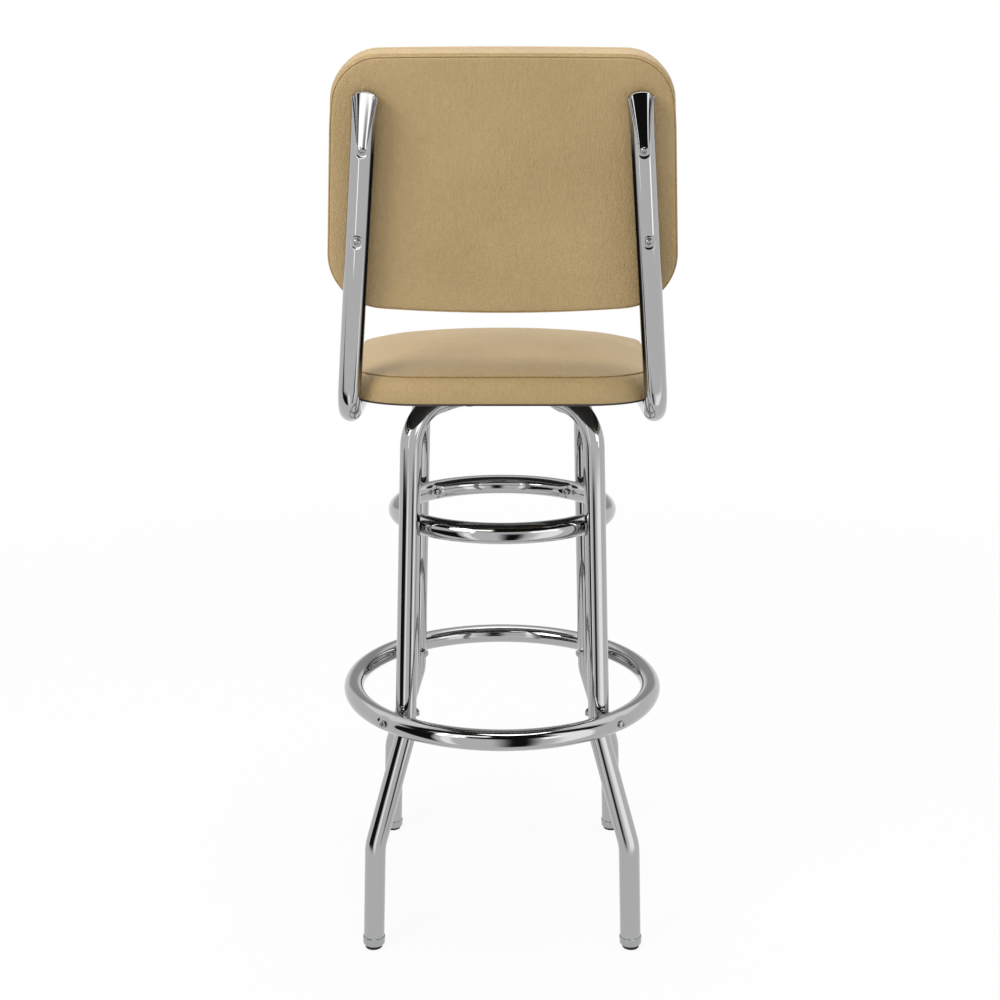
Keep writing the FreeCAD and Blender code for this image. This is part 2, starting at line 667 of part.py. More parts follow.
race_level = "(%s + Sizes.plate_space / 2)" % plate_top
cage = newBody("ball_cage")
cageSketch = sketchOn(cage, "XY_Plane", "Ring")
for sign in ("+", "-"):
    drawCircle(cageSketch, nowhere, nowhere,
               "2 * Sizes.race_radius %s Sizes.cage_width" % sign)
pad(cage, cageSketch, "Sizes.cage_thickness")
pocket = primitive(cage, "SubtractiveCylinder", "Pocket", {
    "Radius": "(Sizes.ball_diameter + Sizes.pocket_play) / 2",
    "Height": "Sizes.cage_thickness + 2 * Sizes.cut_overrun",
    "Placement.Base.x": "Sizes.race_radius",
    "Placement.Base.z": "-Sizes.cut_overrun"})
aroundAxis(cage, [pocket], "Sizes.ball_count")
cage.setExpression("Placement.Base.z", "%s - Sizes.cage_thickness / 2" % race_level)

balls = newBody("swivel_balls")
ball = primitive(balls, "AdditiveSphere", "Ball", {
    "Radius": "Sizes.ball_diameter / 2",
    "Placement.Base.x": "Sizes.race_radius"})
aroundAxis(balls, [ball], "Sizes.ball_count")
balls.setExpression("Placement.Base.z", race_level)

plateScrews = newBody("seat_plate_screws")
primitive(plateScrews, "AdditiveCylinder", "Shank", {
    "Radius": "Sizes.plate_screw_diameter / 2",
    "Height": "%s - %s + Sizes.plate_screw_bite" % (seat_base, upper_plate_base),
    "Placement.Base.x": screwReach,
    "Placement.Base.z": upper_plate_base})
plateHead = primitive(plateScrews, "AdditiveCylinder", "Head", {
    "Radius": "Sizes.plate_screw_head / 2",
    "Height": "Sizes.plate_screw_rise",
    "Placement.Base.x": screwReach,
    "Placement.Base.z": "%s - Sizes.plate_screw_rise" % upper_plate_base})
lowest = measure("%s - Sizes.plate_screw_rise" % upper_plate_base)
roundEdges(plateScrews, plateHead,
           lambda edge: abs(edge.BoundBox.ZMax - lowest) < touching,
           "Sizes.plate_screw_rise * %s" % dome_share)
aroundAxis(plateScrews, [], leg_count)
pieces += [lowerPlate, upperPlate, rivet, cage, balls, plateScrews]


def hexNut(place, heading, width, height, screw):
    corners = []
    for i in range(hexagon_sides + 1):
        angle = 2 * math.pi * i / hexagon_sides
        corners.append(Vector(math.cos(angle), math.sin(angle), 0) * (width / math.sqrt(3)))
    prism = Part.Face(Part.makePolygon(corners)).extrude(Vector(0, 0, height))
    prism = prism.cut(rod(Vector(0, 0, -overrun), Vector(0, 0, 1), screw / 2,
                          height + 2 * overrun))
    prism.Placement = Placement(place, Rotation(Vector(0, 0, 1), heading))
    return prism


hexagon_sides = 6
bolts, nuts, sleeves = [], [], []
down = Vector(0, 0, -1)
for i in range(int(leg_count)):
    angle = math.radians(eighth_turn + i * quarter_turn)
    arm = Vector(math.cos(angle), math.sin(angle), 0) * (size("frame_bolt_spread") * math.sqrt(2))
    onLower = i % 2 == 0
    meeting = measure(meeting_level)
    nutTop = meeting - size("press_thickness") if onLower else meeting
    boltTop = measure(plate_top)
    length = boltTop - nutTop + size("frame_nut_height") + size("frame_bolt_tail")
    bolts.append(domedStud(arm + Vector(0, 0, boltTop), down, size("frame_bolt_diameter") / 2,
                           length, size("frame_bolt_head") / 2, size("frame_bolt_rise")))
    nuts.append(hexNut(arm + Vector(0, 0, nutTop), down, size("frame_nut_width"),
                       size("frame_nut_height"), size("frame_bolt_diameter")))
    if onLower:
        rise = size("press_thickness")
        sleeve = rod(arm + Vector(0, 0, meeting), -down, size("sleeve_diameter") / 2, rise)
        bore = (size("frame_bolt_diameter") + size("hole_play")) / 2
        sleeves.append(sleeve.cut(rod(arm + Vector(0, 0, meeting - overrun), -down, bore,
                                      rise + 2 * overrun)))
pieces.append(plainFeature("frame_bolts", Part.makeCompound(bolts)))
pieces.append(plainFeature("frame_nuts", Part.makeCompound(nuts)))
pieces.append(plainFeature("plate_sleeves", Part.makeCompound(sleeves)))


# Upholstery: an outline in the XY plane, padded upwards to a domed crown


def seatCorners():
    rear, front = size("seat_rear"), size("seat_front")
    rearHalf, frontHalf = size("seat_rear_half"), size("seat_front_half")
    points = [Vector(rearHalf, rear, 0), Vector(-rearHalf, rear, 0),
              Vector(-frontHalf, -front, 0), Vector(frontHalf, -front, 0)]
    rearCorner, frontCorner = size("seat_rear_corner"), size("seat_front_corner")
    return points, [rearCorner, rearCorner, frontCorner, frontCorner]


def backCorners():
    bottom, top = size("back_bottom_half"), size("back_top_half")
    rise = size("back_height")
    points = [Vector(bottom, 0, 0), Vector(top, rise, 0), Vector(-top, rise, 0),
              Vector(-bottom, 0, 0)]
    low, high = size("back_bottom_corner"), size("back_top_corner")
    return points, [low, high, high, low]


def outlineWire(corners, sag=0):
    # rounded outline; with a sag, its first and last corners are joined by a bowed edge
    points, radii = corners()
    wire = roundedWire(points, radii, True)
    if not sag:
        return wire
    flat = [edge for edge in wire.Edges
            if abs(edge.BoundBox.YMax) < touching and hasattr(edge.Curve, "Direction")]
    kept = [edge for edge in wire.Edges if not any(edge.isSame(item) for item in flat)]
    ends = sorted((vertex.Point for edge in flat for vertex in edge.Vertexes),
                  key=lambda point: point.x)
    bow = Part.Arc(ends[0], Vector(0, -sag, 0), ends[-1]).toShape()
    return Part.Wire(Part.__sortEdges__(kept + [bow]))


def slab(wire, inset, low, high):
    # the outline drawn in by inset, between two levels
    if inset:
        wire = wire.makeOffset2D(-inset)
    face = Part.Face(wire)
    return face.extrude(Vector(0, 0, high - low)).translated(Vector(0, 0, low))


def domedPad(wire, inset, low, crown, drop, halfSpan, roll, middle):
    # a slab under a shallow dome whose crown stands over middle, its upper edge rolled
    radius = (halfSpan ** 2 + drop ** 2) / (2 * drop)
    prism = slab(wire, inset, low, crown + overrun)
    dome = Part.makeSphere(radius - inset, middle + Vector(0, 0, crown + inset - radius))
    solid = prism.common(dome)
    top = max(solid.Faces, key=lambda face: face.CenterOfMass.z)
    return solid.makeFillet(roll - inset, top.Edges)


def softenRim(solid, level, radius):
    edges = [edge for edge in solid.Edges
             if abs(edge.BoundBox.ZMin - level) < touching
             and abs(edge.BoundBox.ZMax - level) < touching]
    return solid.makeFillet(radius, edges)


hem = size("hem_thickness")
vinyl = size("vinyl")
foamInset = vinyl + size("foam_gap")
seatWire = outlineWire(seatCorners)
boardBottom = measure(seat_base)
seatLow = boardBottom - hem
seamLevel = seatLow + size("seat_seam_rise")
boardTop = boardBottom + size("seat_board_thickness")
seatMiddle = Vector(0, (size("seat_rear") - size("seat_front")) / 2, 0)


def seatPad(inset, low):
    return domedPad(seatWire, inset, low, seatLow + size("seat_crown_rise") - inset,
                    size("seat_crown_drop"), size("seat_front_half"), size("seat_roll"),
                    seatMiddle)


topPanel = seatPad(0, seamLevel).cut(seatPad(vinyl, seamLevel - overrun))
pieces.append(plainFeature("seat_top_panel", topPanel))
pieces.append(plainFeature("seat_foam", seatPad(foamInset, boardTop)))

# The band goes round the seat's sides and is folded under the board as a hem
band = slab(seatWire, 0, seatLow, seamLevel)
band = softenRim(softenRim(band, seatLow, size("band_edge")), seamLevel, size("seam_draw"))
band = band.cut(slab(seatWire, vinyl, boardBottom, seamLevel + overrun))
band = band.cut(slab(seatWire, size("hem_width"), seatLow - overrun, seamLevel))
boltPlaces = [Vector(side * size("run_half_spread"), along, 0)
              for side in (1, -1)
              for along in (-size("post_bolt_front"), size("post_bolt_rear"))]
drill = (size("post_bolt_diameter") + size("hole_play")) / 2
up = Vector(0, 0, 1)
for place in boltPlaces:
    band = band.cut(rod(place + up * (seatLow - overrun), up, drill, hem + 2 * overrun))
pieces.append(plainFeature("seat_band", band))


def boardBody(label, halves, levels, thickness, corners, inset):
    # plywood board: a four-sided outline with rounded corners, inset inside the vinyl
    body = newBody(label)
    sketch = sketchOn(body, "XY_Plane", "Outline")
    firstHalf, lastHalf = ["(Sizes.%s - %s)" % (name, inset) for name in halves]
    drawPolygon(sketch, [(firstHalf, levels[0]), ("-" + firstHalf, levels[0]),
                         ("-" + lastHalf, levels[1]), (lastHalf, levels[1])])
    board = pad(body, sketch, "Sizes." + thickness)
    middle = (measure(levels[0]) + measure(levels[1])) / 2
    firstAbove = measure(levels[0]) > middle
    first = roundEdges(body, board,
                       lambda edge: isUpright(edge)
                       and (edge.CenterOfMass.y > middle) == firstAbove,
                       "Sizes.%s - %s" % (corners[0], inset), "FirstCorners")
    roundEdges(body, first,
               lambda edge: isUpright(edge)
               and abs(abs(edge.CenterOfMass.x) - measure(lastHalf)) < touching,
               "Sizes.%s - %s" % (corners[1], inset), "LastCorners")
    return body


def drillBoard(body, name, x, y, diameter, low, high):
    return primitive(body, "SubtractiveCylinder", name, {
        "Radius": diameter + " / 2",
        "Height": "%s - (%s)" % (high, low),
        "Placement.Base.x": x,
        "Placement.Base.y": y,
        "Placement.Base.z": low})


past = "Sizes.cut_overrun"
board_inset = "(Sizes.vinyl + Sizes.foam_gap)"
seatBoard = boardBody(
    "seat_board", ("seat_rear_half", "seat_front_half"),
    ("Sizes.seat_rear - " + board_inset, "%s - Sizes.seat_front" % board_inset),
    "seat_board_thickness", ("seat_rear_corner", "seat_front_corner"), board_inset)
thick = "Sizes.seat_board_thickness"
drillBoard(seatBoard, "CentreHole", nowhere, nowhere, "Sizes.centre_hole",
           "-" + past, "%s + %s" % (thick, past))
for i, (x, y) in enumerate([(screwReach, nowhere), ("-" + screwReach, nowhere),
                            (nowhere, screwReach), (nowhere, "-" + screwReach)]):
    drillBoard(seatBoard, "PilotHole%d" % i, x, y, "Sizes.plate_screw_diameter",
               "-" + past, "Sizes.plate_screw_bite")
for x in ("", "-"):
    for y in ("-Sizes.post_bolt_front", "Sizes.post_bolt_rear"):
        place = (x + "Sizes.run_half_spread", y)
        drillBoard(seatBoard, "BoltHole", *place, "Sizes.tee_barrel",
                   "-" + past, "%s + %s" % (thick, past))
        drillBoard(seatBoard, "TeeSeat", *place, "Sizes.tee_flange",
                   "%s - Sizes.tee_flange_thickness" % thick, "%s + %s" % (thick, past))
seatBoard.setExpression("Placement.Base.z", seat_base)
pieces.append(seatBoard)


# Back posts: one tube each, from under the seat round a bend and up behind the back


def scoopCurve(share):
    # section of the tube's top: round at share 0, pressed to a gutter at share 1
    spread = tube_radius + size("scoop_flare") * share ** flare_power
    reach = gutter_start_share + (gutter_end_share - gutter_start_share) * share
    press = share ** gutter_growth
    points = []
    for i in range(scoop_points):
        angle = 2 * math.pi * i / scoop_points
        across = math.cos(angle)
        depth = math.sqrt(max(0, 1 - across * across)) * tube_radius
        if math.sin(angle) >= 0:
            window = max(0, 1 - (across / reach) ** gutter_power) ** gutter_ease
            floor = -depth + size("scoop_wall")
            depth = depth + (floor - depth) * press * window
        else:
            depth = -depth
        points.append(Vector(spread * across, depth, 0))
    curve = Part.BSplineCurve()
    curve.interpolate(points, PeriodicFlag=True)
    return Part.Wire([curve.toShape()])


flare_power = 3
gutter_start_share = 0.45
gutter_end_share = 0.97
gutter_growth = 1.3
gutter_power = 6
gutter_ease = 1.5
scoop_points = 48
scoop_stations = 7
runLevel = seatLow - tube_radius - size("touch_gap")
slope = math.radians(size("recline_angle"))
rearward = Vector(0, math.cos(slope), -math.sin(slope))
postTop = size("frame_top_height") + size("post_top_rise")


def postPoint(side, level):
    # centre line of the leaning part at a height
    share = (level - runLevel) / (postTop - runLevel)
    return Vector(side * (size("run_half_spread") - size("post_draw_in") * share),
                  size("post_corner_reach") + (level - runLevel) * math.tan(slope), level)


backLow = size("frame_top_height") + size("back_bottom_rise")
backOrigin = (postPoint(0, backLow - tube_radius * math.sin(slope))
              - rearward * (tube_radius + size("touch_gap")))
backPlace = Placement(backOrigin, Rotation(Vector(1, 0, 0), quarter_turn - size("recline_angle")))


def backScrews(side):
    # where the two screw lines of one post cross the rear face of the back
    places = []
    for name in ("back_screw_low", "back_screw_high"):
        level = backOrigin.z + size(name) * math.cos(slope) - tube_radius * math.sin(slope)
        centre = postPoint(side, level)
        places.append(centre - rearward * (tube_radius + size("touch_gap")))
    return places


def postTube(side):
    front = Vector(side * size("run_half_spread"), -size("run_front"), runLevel)
    corner = postPoint(side, runLevel)
    top = postPoint(side, postTop)
    along = (top - corner).normalize()
    length = size("scoop_length")
    scoopStart = top - along * length
    path = roundedWire([front, corner, scoopStart], [size("post_bend_radius")])
    sideways = rearward.cross(along)
    sections = []
    for i in range(scoop_stations):
        share = i / (scoop_stations - 1)
        section = scoopCurve(share) if i else ringCurve(tube_radius)
        section.Placement = frameAt(scoopStart + along * (length * share), sideways, rearward)
        sections.append(section)
    scoop = Part.makeLoft(sections, True)
    shape = sweepRound(path, tube_radius).fuse(scoop).cut(sweepRound(path, bore_radius))
    # arched top edge
    halfWidth = tube_radius + size("scoop_flare")
    rise = size("scoop_arch")
    archRadius = (halfWidth ** 2 + rise ** 2) / (2 * rise)
    block = Part.makeBox(4 * halfWidth, 4 * tube_radius, archRadius,
                         Vector(-2 * halfWidth, -2 * tube_radius, length - rise))
    arch = rod(Vector(0, -3 * tube_radius, length - archRadius), Vector(0, 1, 0),
               archRadius, 6 * tube_radius)
    trim = block.cut(arch)
    trim.Placement = frameAt(scoopStart, sideways, rearward)
    shape = shape.cut(trim)
    # flats and holes for the back screws and for the bolts of the run
    spot = size("spot_diameter") / 2
    across = size("tube_diameter")
    depth = size("spot_depth")
    for place in backScrews(side):
        face = place + rearward * (across + size("touch_gap") - depth)
        shape = shape.cut(rod(face, rearward, spot, depth + overrun))
        shape = shape.cut(rod(place - rearward * overrun, rearward,
                              (size("back_screw_diameter") + size("hole_play")) / 2,
                              across + 2 * overrun))
    for place in boltPlaces:
        if place.x * side > 0:
            face = place + up * (runLevel - tube_radius + depth)
            shape = shape.cut(rod(face, -up, spot, depth + overrun))
            shape = shape.cut(rod(face, up, drill, across + overrun))
    return shape


for label, side in (("back_post_left", 1), ("back_post_right", -1)):
    pieces.append(plainFeature(label, postTube(side)))


# Bolts, tee nuts and end plugs of the posts

boltSeat = runLevel - tube_radius + size("spot_depth")
boltLength = boardTop - size("tee_flange_thickness") - boltSeat
postBolts = [domedStud(place + up * boltSeat, up, size("post_bolt_diameter") / 2, boltLength,
                       size("post_bolt_head") / 2, size("post_bolt_rise"))
             for place in boltPlaces]
postNuts = [teeNut(place + up * boardTop, down, size("post_bolt_diameter"))
            for place in boltPlaces]
pieces.append(plainFeature("post_bolts", Part.makeCompound(postBolts)))
pieces.append(plainFeature("post_tee_nuts", Part.makeCompound(postNuts)))


def endPlug(side):
    ahead = Vector(0, -1, 0)
    end = Vector(side * size("run_half_spread"), -size("run_front"), runLevel)
    rim = rod(end, ahead, tube_radius, size("plug_rim"))
    front = [edge for edge in rim.Edges
             if abs(edge.CenterOfMass.y - (end.y - size("plug_rim"))) < touching]
    rim = rim.makeFillet(size("plug_rim") * dome_share, front)
    return rim.fuse(rod(end, -ahead, bore_radius - size("plug_fit"), size("plug_length")))


plugs = [endPlug(1), endPlug(-1)]
pieces.append(plainFeature("post_plugs", Part.makeCompound(plugs)))


# Back, drawn flat in its own plane: rear panel, board, foam and the cover with its hem

backWire = outlineWire(backCorners, size("back_sag"))
panelFront = size("rear_panel_thickness")
hemFront = panelFront + hem
boardFront = hemFront + size("back_board_thickness")
backMiddle = Vector(0, size("back_height") / 2, 0)
screwDrill = (size("back_screw_diameter") + size("hole_play")) / 2
flatScrews = [backPlace.inverse().multVec(place)
              for side in (1, -1) for place in backScrews(side)]


def backPad(inset, low):
    return domedPad(backWire, inset, low, size("back_thickness") - inset,
                    size("back_crown_drop"), size("back_bottom_half"), size("back_roll"),
                    backMiddle)


cover = softenRim(backPad(0, panelFront), panelFront, size("back_rear_roll"))
cover = cover.cut(backPad(vinyl, hemFront))
cover = cover.cut(slab(backWire, size("hem_width"), panelFront - overrun, hemFront + overrun))
pieces.append(plainFeature("back_cover", cover, backPlace))
pieces.append(plainFeature("back_foam", backPad(foamInset, boardFront), backPlace))

board = slab(backWire, foamInset, hemFront, boardFront)
panel = softenRim(slab(backWire, size("rear_panel_inset"), 0, panelFront), 0,
                  panelFront * dome_share)
for place in flatScrews:
    panel = panel.cut(rod(place - up * overrun, up, screwDrill, panelFront + 2 * overrun))
    board = board.cut(rod(place, up, size("tee_barrel") / 2, boardFront + overrun))
    board = board.cut(rod(place + up * (boardFront - size("tee_flange_thickness")), up,
                          size("tee_flange") / 2, overrun + size("tee_flange_thickness")))
pieces.append(plainFeature("back_board", board, backPlace))
pieces.append(plainFeature("back_rear_panel", panel, backPlace))

screwSeat = size("tube_diameter") + size("touch_gap") - size("spot_depth")
screwLength = screwSeat + boardFront - size("tee_flange_thickness")
backScrewSet = [domedStud(place - up * screwSeat, up, size("back_screw_diameter") / 2,
                          screwLength, size("back_screw_head") / 2, size("back_screw_rise"))
                for place in flatScrews]
backNutSet = [teeNut(place + up * boardFront, down, size("back_screw_diameter"))
              for place in flatScrews]
pieces.append(plainFeature("back_screws", Part.makeCompound(backScrewSet), backPlace))
pieces.append(plainFeature("back_tee_nuts", Part.makeCompound(backNutSet), backPlace))


# Every object is checked before any file is written

doc.recompute()
for item in doc.Objects:
    if "Invalid" in item.State or "Error" in item.State:
        raise RuntimeError("%s failed: %s" % (item.Name, item.State))
for item in pieces:
    if item.Shape.isNull() or not item.Shape.isValid():
        raise RuntimeError("%s has no valid shape" % item.Label)
os.makedirs("parts", exist_ok=True)
for item in pieces:
    item.Shape.exportStep("parts/%s.step" % item.Label)
    print(item.Label, len(item.Shape.Solids))
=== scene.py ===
import math

import bmesh
import bpy
import numpy as np
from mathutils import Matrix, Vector


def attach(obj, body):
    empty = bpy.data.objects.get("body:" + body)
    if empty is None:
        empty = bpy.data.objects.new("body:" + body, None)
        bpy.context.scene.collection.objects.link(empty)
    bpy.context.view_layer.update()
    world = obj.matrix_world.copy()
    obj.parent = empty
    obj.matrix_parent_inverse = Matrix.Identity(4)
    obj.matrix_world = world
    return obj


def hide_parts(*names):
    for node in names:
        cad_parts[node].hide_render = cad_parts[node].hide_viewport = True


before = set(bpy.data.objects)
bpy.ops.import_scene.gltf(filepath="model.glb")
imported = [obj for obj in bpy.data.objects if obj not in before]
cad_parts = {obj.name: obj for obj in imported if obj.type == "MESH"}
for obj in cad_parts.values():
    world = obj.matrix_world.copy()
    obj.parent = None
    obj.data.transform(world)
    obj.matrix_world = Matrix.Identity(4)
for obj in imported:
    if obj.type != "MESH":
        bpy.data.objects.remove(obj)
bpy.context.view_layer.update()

mm = 0.001  # metres in a millimetre
print("stage: frame loaded,", len(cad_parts), "nodes")


# Small tools

def linear(hexColour):
    # sRGB hex to the linear values that a shader takes
    channels = [int(hexColour[i:i + 2], 16) / 255 for i in (1, 3, 5)]
    return tuple(c / 12.92 if c <= 0.04045 else ((c + 0.055) / 1.055) ** 2.4 for c in channels) + (1,)


def addNode(tree, kind, inputs=None, **settings):
    # one node; an input takes a plain value or another node's output
    node = tree.nodes.new("ShaderNode" + kind)
    for name, value in settings.items():
        setattr(node, name, value)
    for name, value in (inputs or {}).items():
        if isinstance(value, bpy.types.NodeSocket):
            tree.links.new(value, node.inputs[name])
        else:
            node.inputs[name].default_value = value
    return node


def addObject(name, data):
    # a new object in the scene
    thing = bpy.data.objects.new(name, data)
    bpy.context.scene.collection.objects.link(thing)
    return thing


def gridFaces(rows, columns, around=True):
    # four-sided faces of a grid of points; around joins the last column to the first
    last = columns if around else columns - 1
    r, c = np.meshgrid(np.arange(rows - 1), np.arange(last), indexing="ij")
    ahead = (c + 1) % columns
    near, far = r * columns, (r + 1) * columns
    return np.stack([near + c, near + ahead, far + ahead, far + c], -1).reshape(-1, 4)


def meshPiece(name, wrapped, body, replaced, slot, flat=()):
    # one mesh of point grids: the wrapped ones close round their columns, the flat ones don't
    points, faces, start = [], [], 0
    for grid, around in [(g, True) for g in wrapped] + [(g, False) for g in flat]:
        points.append(grid.reshape(-1, 3))
        faces += (gridFaces(*grid.shape[:2], around) + start).tolist()
        start += len(points[-1])
    mesh = bpy.data.meshes.new(name)
    mesh.from_pydata(np.concatenate(points).tolist(), [], faces)
    piece = addObject(name, mesh)
    tool = bmesh.new()
    tool.from_mesh(mesh)
    bmesh.ops.remove_doubles(tool, verts=tool.verts, dist=1e-6)
    bmesh.ops.dissolve_degenerate(tool, edges=tool.edges, dist=1e-7)
    bmesh.ops.recalc_face_normals(tool, faces=tool.faces)
    tool.to_mesh(mesh)
    tool.free()
    mesh.shade_smooth()
    mesh.materials.append(finishes[slot])
    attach(piece, body)
    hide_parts(*replaced)
    return piece


def unit(vectors):
    # the same vectors with a length of one
    return vectors / np.linalg.norm(vectors, axis=-1, keepdims=True)


def fullTurn(count):
    # even angles once round, without the closing one
    return np.linspace(0, 2 * np.pi, count, endpoint=False)


def smoothStep(x, low, high):
    # 0 below low, 1 above high, with an S-shaped rise between
    t = np.clip((x - low) / (high - low), 0, 1)
    return t * t * (3 - 2 * t)


def resample(line, step, closed):
    # the same line with points an even step apart
    if closed:
        line = np.concatenate([line, line[:1]])
    keep = np.concatenate([[True], np.linalg.norm(np.diff(line, axis=0), axis=1) > 1e-9])
    line = line[keep]
    run = np.concatenate([[0], np.cumsum(np.linalg.norm(np.diff(line, axis=0), axis=1))])
    wanted = np.linspace(0, run[-1], max(3, int(round(run[-1] / step))) + 1)
    if closed:
        wanted = wanted[:-1]
    return np.stack([np.interp(wanted, run, line[:, k]) for k in range(line.shape[1])], -1)


def roundedPath(points, radii, step, closed=False):
    # straight runs joined by tangent arcs: an arc's point is its centre plus both end radii,
    # one weighted by the sine of the turn to go and the other by the sine of the turn made
    count = len(points)
    out = [] if closed else [points[:1]]
    for i, radius in zip(range(count) if closed else range(1, count - 1), radii):
        corner = points[i]
        back, ahead = unit(points[i - 1] - corner), unit(points[(i + 1) % count] - corner)
        half = math.acos(np.clip(back @ ahead, -1, 1)) / 2
        centre = corner + unit(back + ahead) * radius / math.sin(half)
        first = corner + back * radius / math.tan(half) - centre
        last = corner + ahead * radius / math.tan(half) - centre
        sweep = math.pi - 2 * half
        made = np.linspace(0, 1, max(6, int(sweep * radius / step)) + 1)[:, None] * sweep
        out.append(centre + (np.sin(sweep - made) * first + np.sin(made) * last) / math.sin(sweep))
    if not closed:
        out.append(points[-1:])
    return resample(np.concatenate(out), step, closed)


def outward2d(line):
    # outward unit normals of a closed outline that runs anticlockwise
    heading = np.roll(line, -1, axis=0) - np.roll(line, 1, axis=0)
    return unit(np.stack([heading[:, 1], -heading[:, 0]], -1))


def toPoint(row):
    # a grid's end row drawn to the point in its middle
    return np.repeat(row.mean(1, keepdims=True), row.shape[1], 1)


def sideAxes(heading):
    # two unit axes square to a heading and to each other
    guess = np.array([0, 0, 1.0]) if abs(heading[2]) < 0.9 else np.array([1.0, 0, 0])
    across = unit(np.cross(heading, guess))
    return across, np.cross(heading, across)


def turned(profile, place, heading, rings):
    # profile of (radius, level): place + level along the heading + radius round it
    across, third = sideAxes(heading)
    angle = fullTurn(rings)[:, None]
    radial = np.cos(angle) * across + np.sin(angle) * third
    return place + profile[:, 1, None, None] * heading + profile[:, 0, None, None] * radial


def aboutAxis(points, angle):
    # points turned about the swivel axis
    c, s = math.cos(angle), math.sin(angle)
    return points @ np.array([[c, s, 0], [-s, c, 0], [0, 0, 1]])


# Materials

def newMaterial(name):
    # a material with no nodes yet, and its tree
    material = bpy.data.materials.new(name)
    material.use_nodes = True
    material.node_tree.nodes.clear()
    return material, material.node_tree


def patchyRoughness(tree, place, patchMm, low, high):
    # roughness that drifts between low and high over patches of this size
    noise = addNode(tree, "TexNoise", {"Vector": place, "Scale": 1000 / patchMm, "Detail": 4})
    return addNode(tree, "MapRange", {"Value": noise.outputs["Fac"], "From Min": 0.3, "From Max": 0.7,
                                      "To Min": low, "To Max": high}).outputs["Result"]


def chromed(name, look):
    # chrome plate on steel: a mirror that takes on the dimples of the metal under it, with
    # patches that handling has made a little hazier
    material, tree = newMaterial(name)
    place = addNode(tree, "TexCoord").outputs["Object"]
    dimple = addNode(tree, "TexNoise", {"Vector": place, "Scale": 1000 / look["dimpleMm"],
                                        "Detail": look["dimpleDetail"]})
    bump = addNode(tree, "Bump", {"Height": dimple.outputs["Fac"], "Strength": look["dimpleStrength"],
                                  "Distance": look["dimpleHighMm"] * mm})
    shader = addNode(tree, "BsdfPrincipled", {
        "Base Color": linear(look["colour"]), "Metallic": 1.0, "Normal": bump.outputs["Normal"],
        "Roughness": patchyRoughness(tree, place, look["patchMm"], look["low"], look["high"])})
    addNode(tree, "OutputMaterial", {"Surface": shader.outputs[0]})
    return material


# on polished tube: clean, with only the faint orange peel of the steel
chromePlate = {"colour": "#aaaaaa", "low": 0.035, "high": 0.085, "patchMm": 45, "dimpleMm": 14,
               "dimpleDetail": 2, "dimpleStrength": 0.05, "dimpleHighMm": 0.4}
# on barrel-polished screws: duller than the tube and finely dimpled
chromeFastener = {"colour": "#a2a4a6", "low": 0.06, "high": 0.14, "patchMm": 6, "dimpleMm": 1.2,
                  "dimpleDetail": 3, "dimpleStrength": 0.15, "dimpleHighMm": 0.2}


def zincSteel():
    # zinc-plated pressed steel: satin grey-blue with cloudy patches and press marks
    look = {"light": "#b3b6b8", "dark": "#8d9296", "low": 0.3, "high": 0.48, "patchMm": 5, "cloudMm": 9,
            "cloudStrength": 0.2, "cloudHighMm": 0.3}
    material, tree = newMaterial("zincSteel")
    place = addNode(tree, "TexCoord").outputs["Object"]
    cloud = addNode(tree, "TexNoise", {"Vector": place, "Scale": 1000 / look["cloudMm"], "Detail": 6,
                                       "Roughness": 0.6})
    ramp = addNode(tree, "ValToRGB", {"Fac": cloud.outputs["Fac"]})
    for stop, position, colour in zip(ramp.color_ramp.elements, (0.35, 0.65), (look["dark"], look["light"])):
        stop.position, stop.color = position, linear(colour)
    bump = addNode(tree, "Bump", {"Height": cloud.outputs["Fac"], "Strength": look["cloudStrength"],
                                  "Distance": look["cloudHighMm"] * mm})
    shader = addNode(tree, "BsdfPrincipled", {
        "Base Color": ramp.outputs["Color"], "Metallic": 1.0, "Normal": bump.outputs["Normal"],
        "Roughness": patchyRoughness(tree, place, look["patchMm"], look["low"], look["high"])})
    addNode(tree, "OutputMaterial", {"Surface": shader.outputs[0]})
    return material


def ballSteel():
    # hardened bearing steel under a film of grease: bright, with soft smears
    look = {"colour": "#9fa2a5", "low": 0.06, "high": 0.22, "smearMm": 3}
    material, tree = newMaterial("ballSteel")
    place = addNode(tree, "TexCoord").outputs["Object"]
    shader = addNode(tree, "BsdfPrincipled", {
        "Base Color": linear(look["colour"]), "Metallic": 1.0,
        "Roughness": patchyRoughness(tree, place, look["smearMm"], look["low"], look["high"])})
    addNode(tree, "OutputMaterial", {"Surface": shader.outputs[0]})
    return material


def mouldedPart(name, look):
    # moulded rubber or plastic: one body colour that varies a little, over a spark-eroded grain
    material, tree = newMaterial(name)
    place = addNode(tree, "TexCoord").outputs["Object"]
    tint = addNode(tree, "TexNoise", {"Vector": place, "Scale": 1000 / look["tintMm"], "Detail": 3})
    mix = addNode(tree, "Mix", {"Factor": tint.outputs["Fac"], 6: linear(look["colour"]),
                                7: linear(look["worn"])}, data_type="RGBA")
    grain = addNode(tree, "TexNoise", {"Vector": place, "Scale": 1000 / look["grainMm"], "Detail": 4})
    bump = addNode(tree, "Bump", {"Height": grain.outputs["Fac"], "Strength": 0.3,
                                  "Distance": look["grainHighMm"] * mm})
    shader = addNode(tree, "BsdfPrincipled", {
        "Base Color": mix.outputs[2], "IOR": 1.5, "Normal": bump.outputs["Normal"],
        "Roughness": patchyRoughness(tree, place, look["patchMm"], look["low"], look["high"])})
    addNode(tree, "OutputMaterial", {"Surface": shader.outputs[0]})
    return material


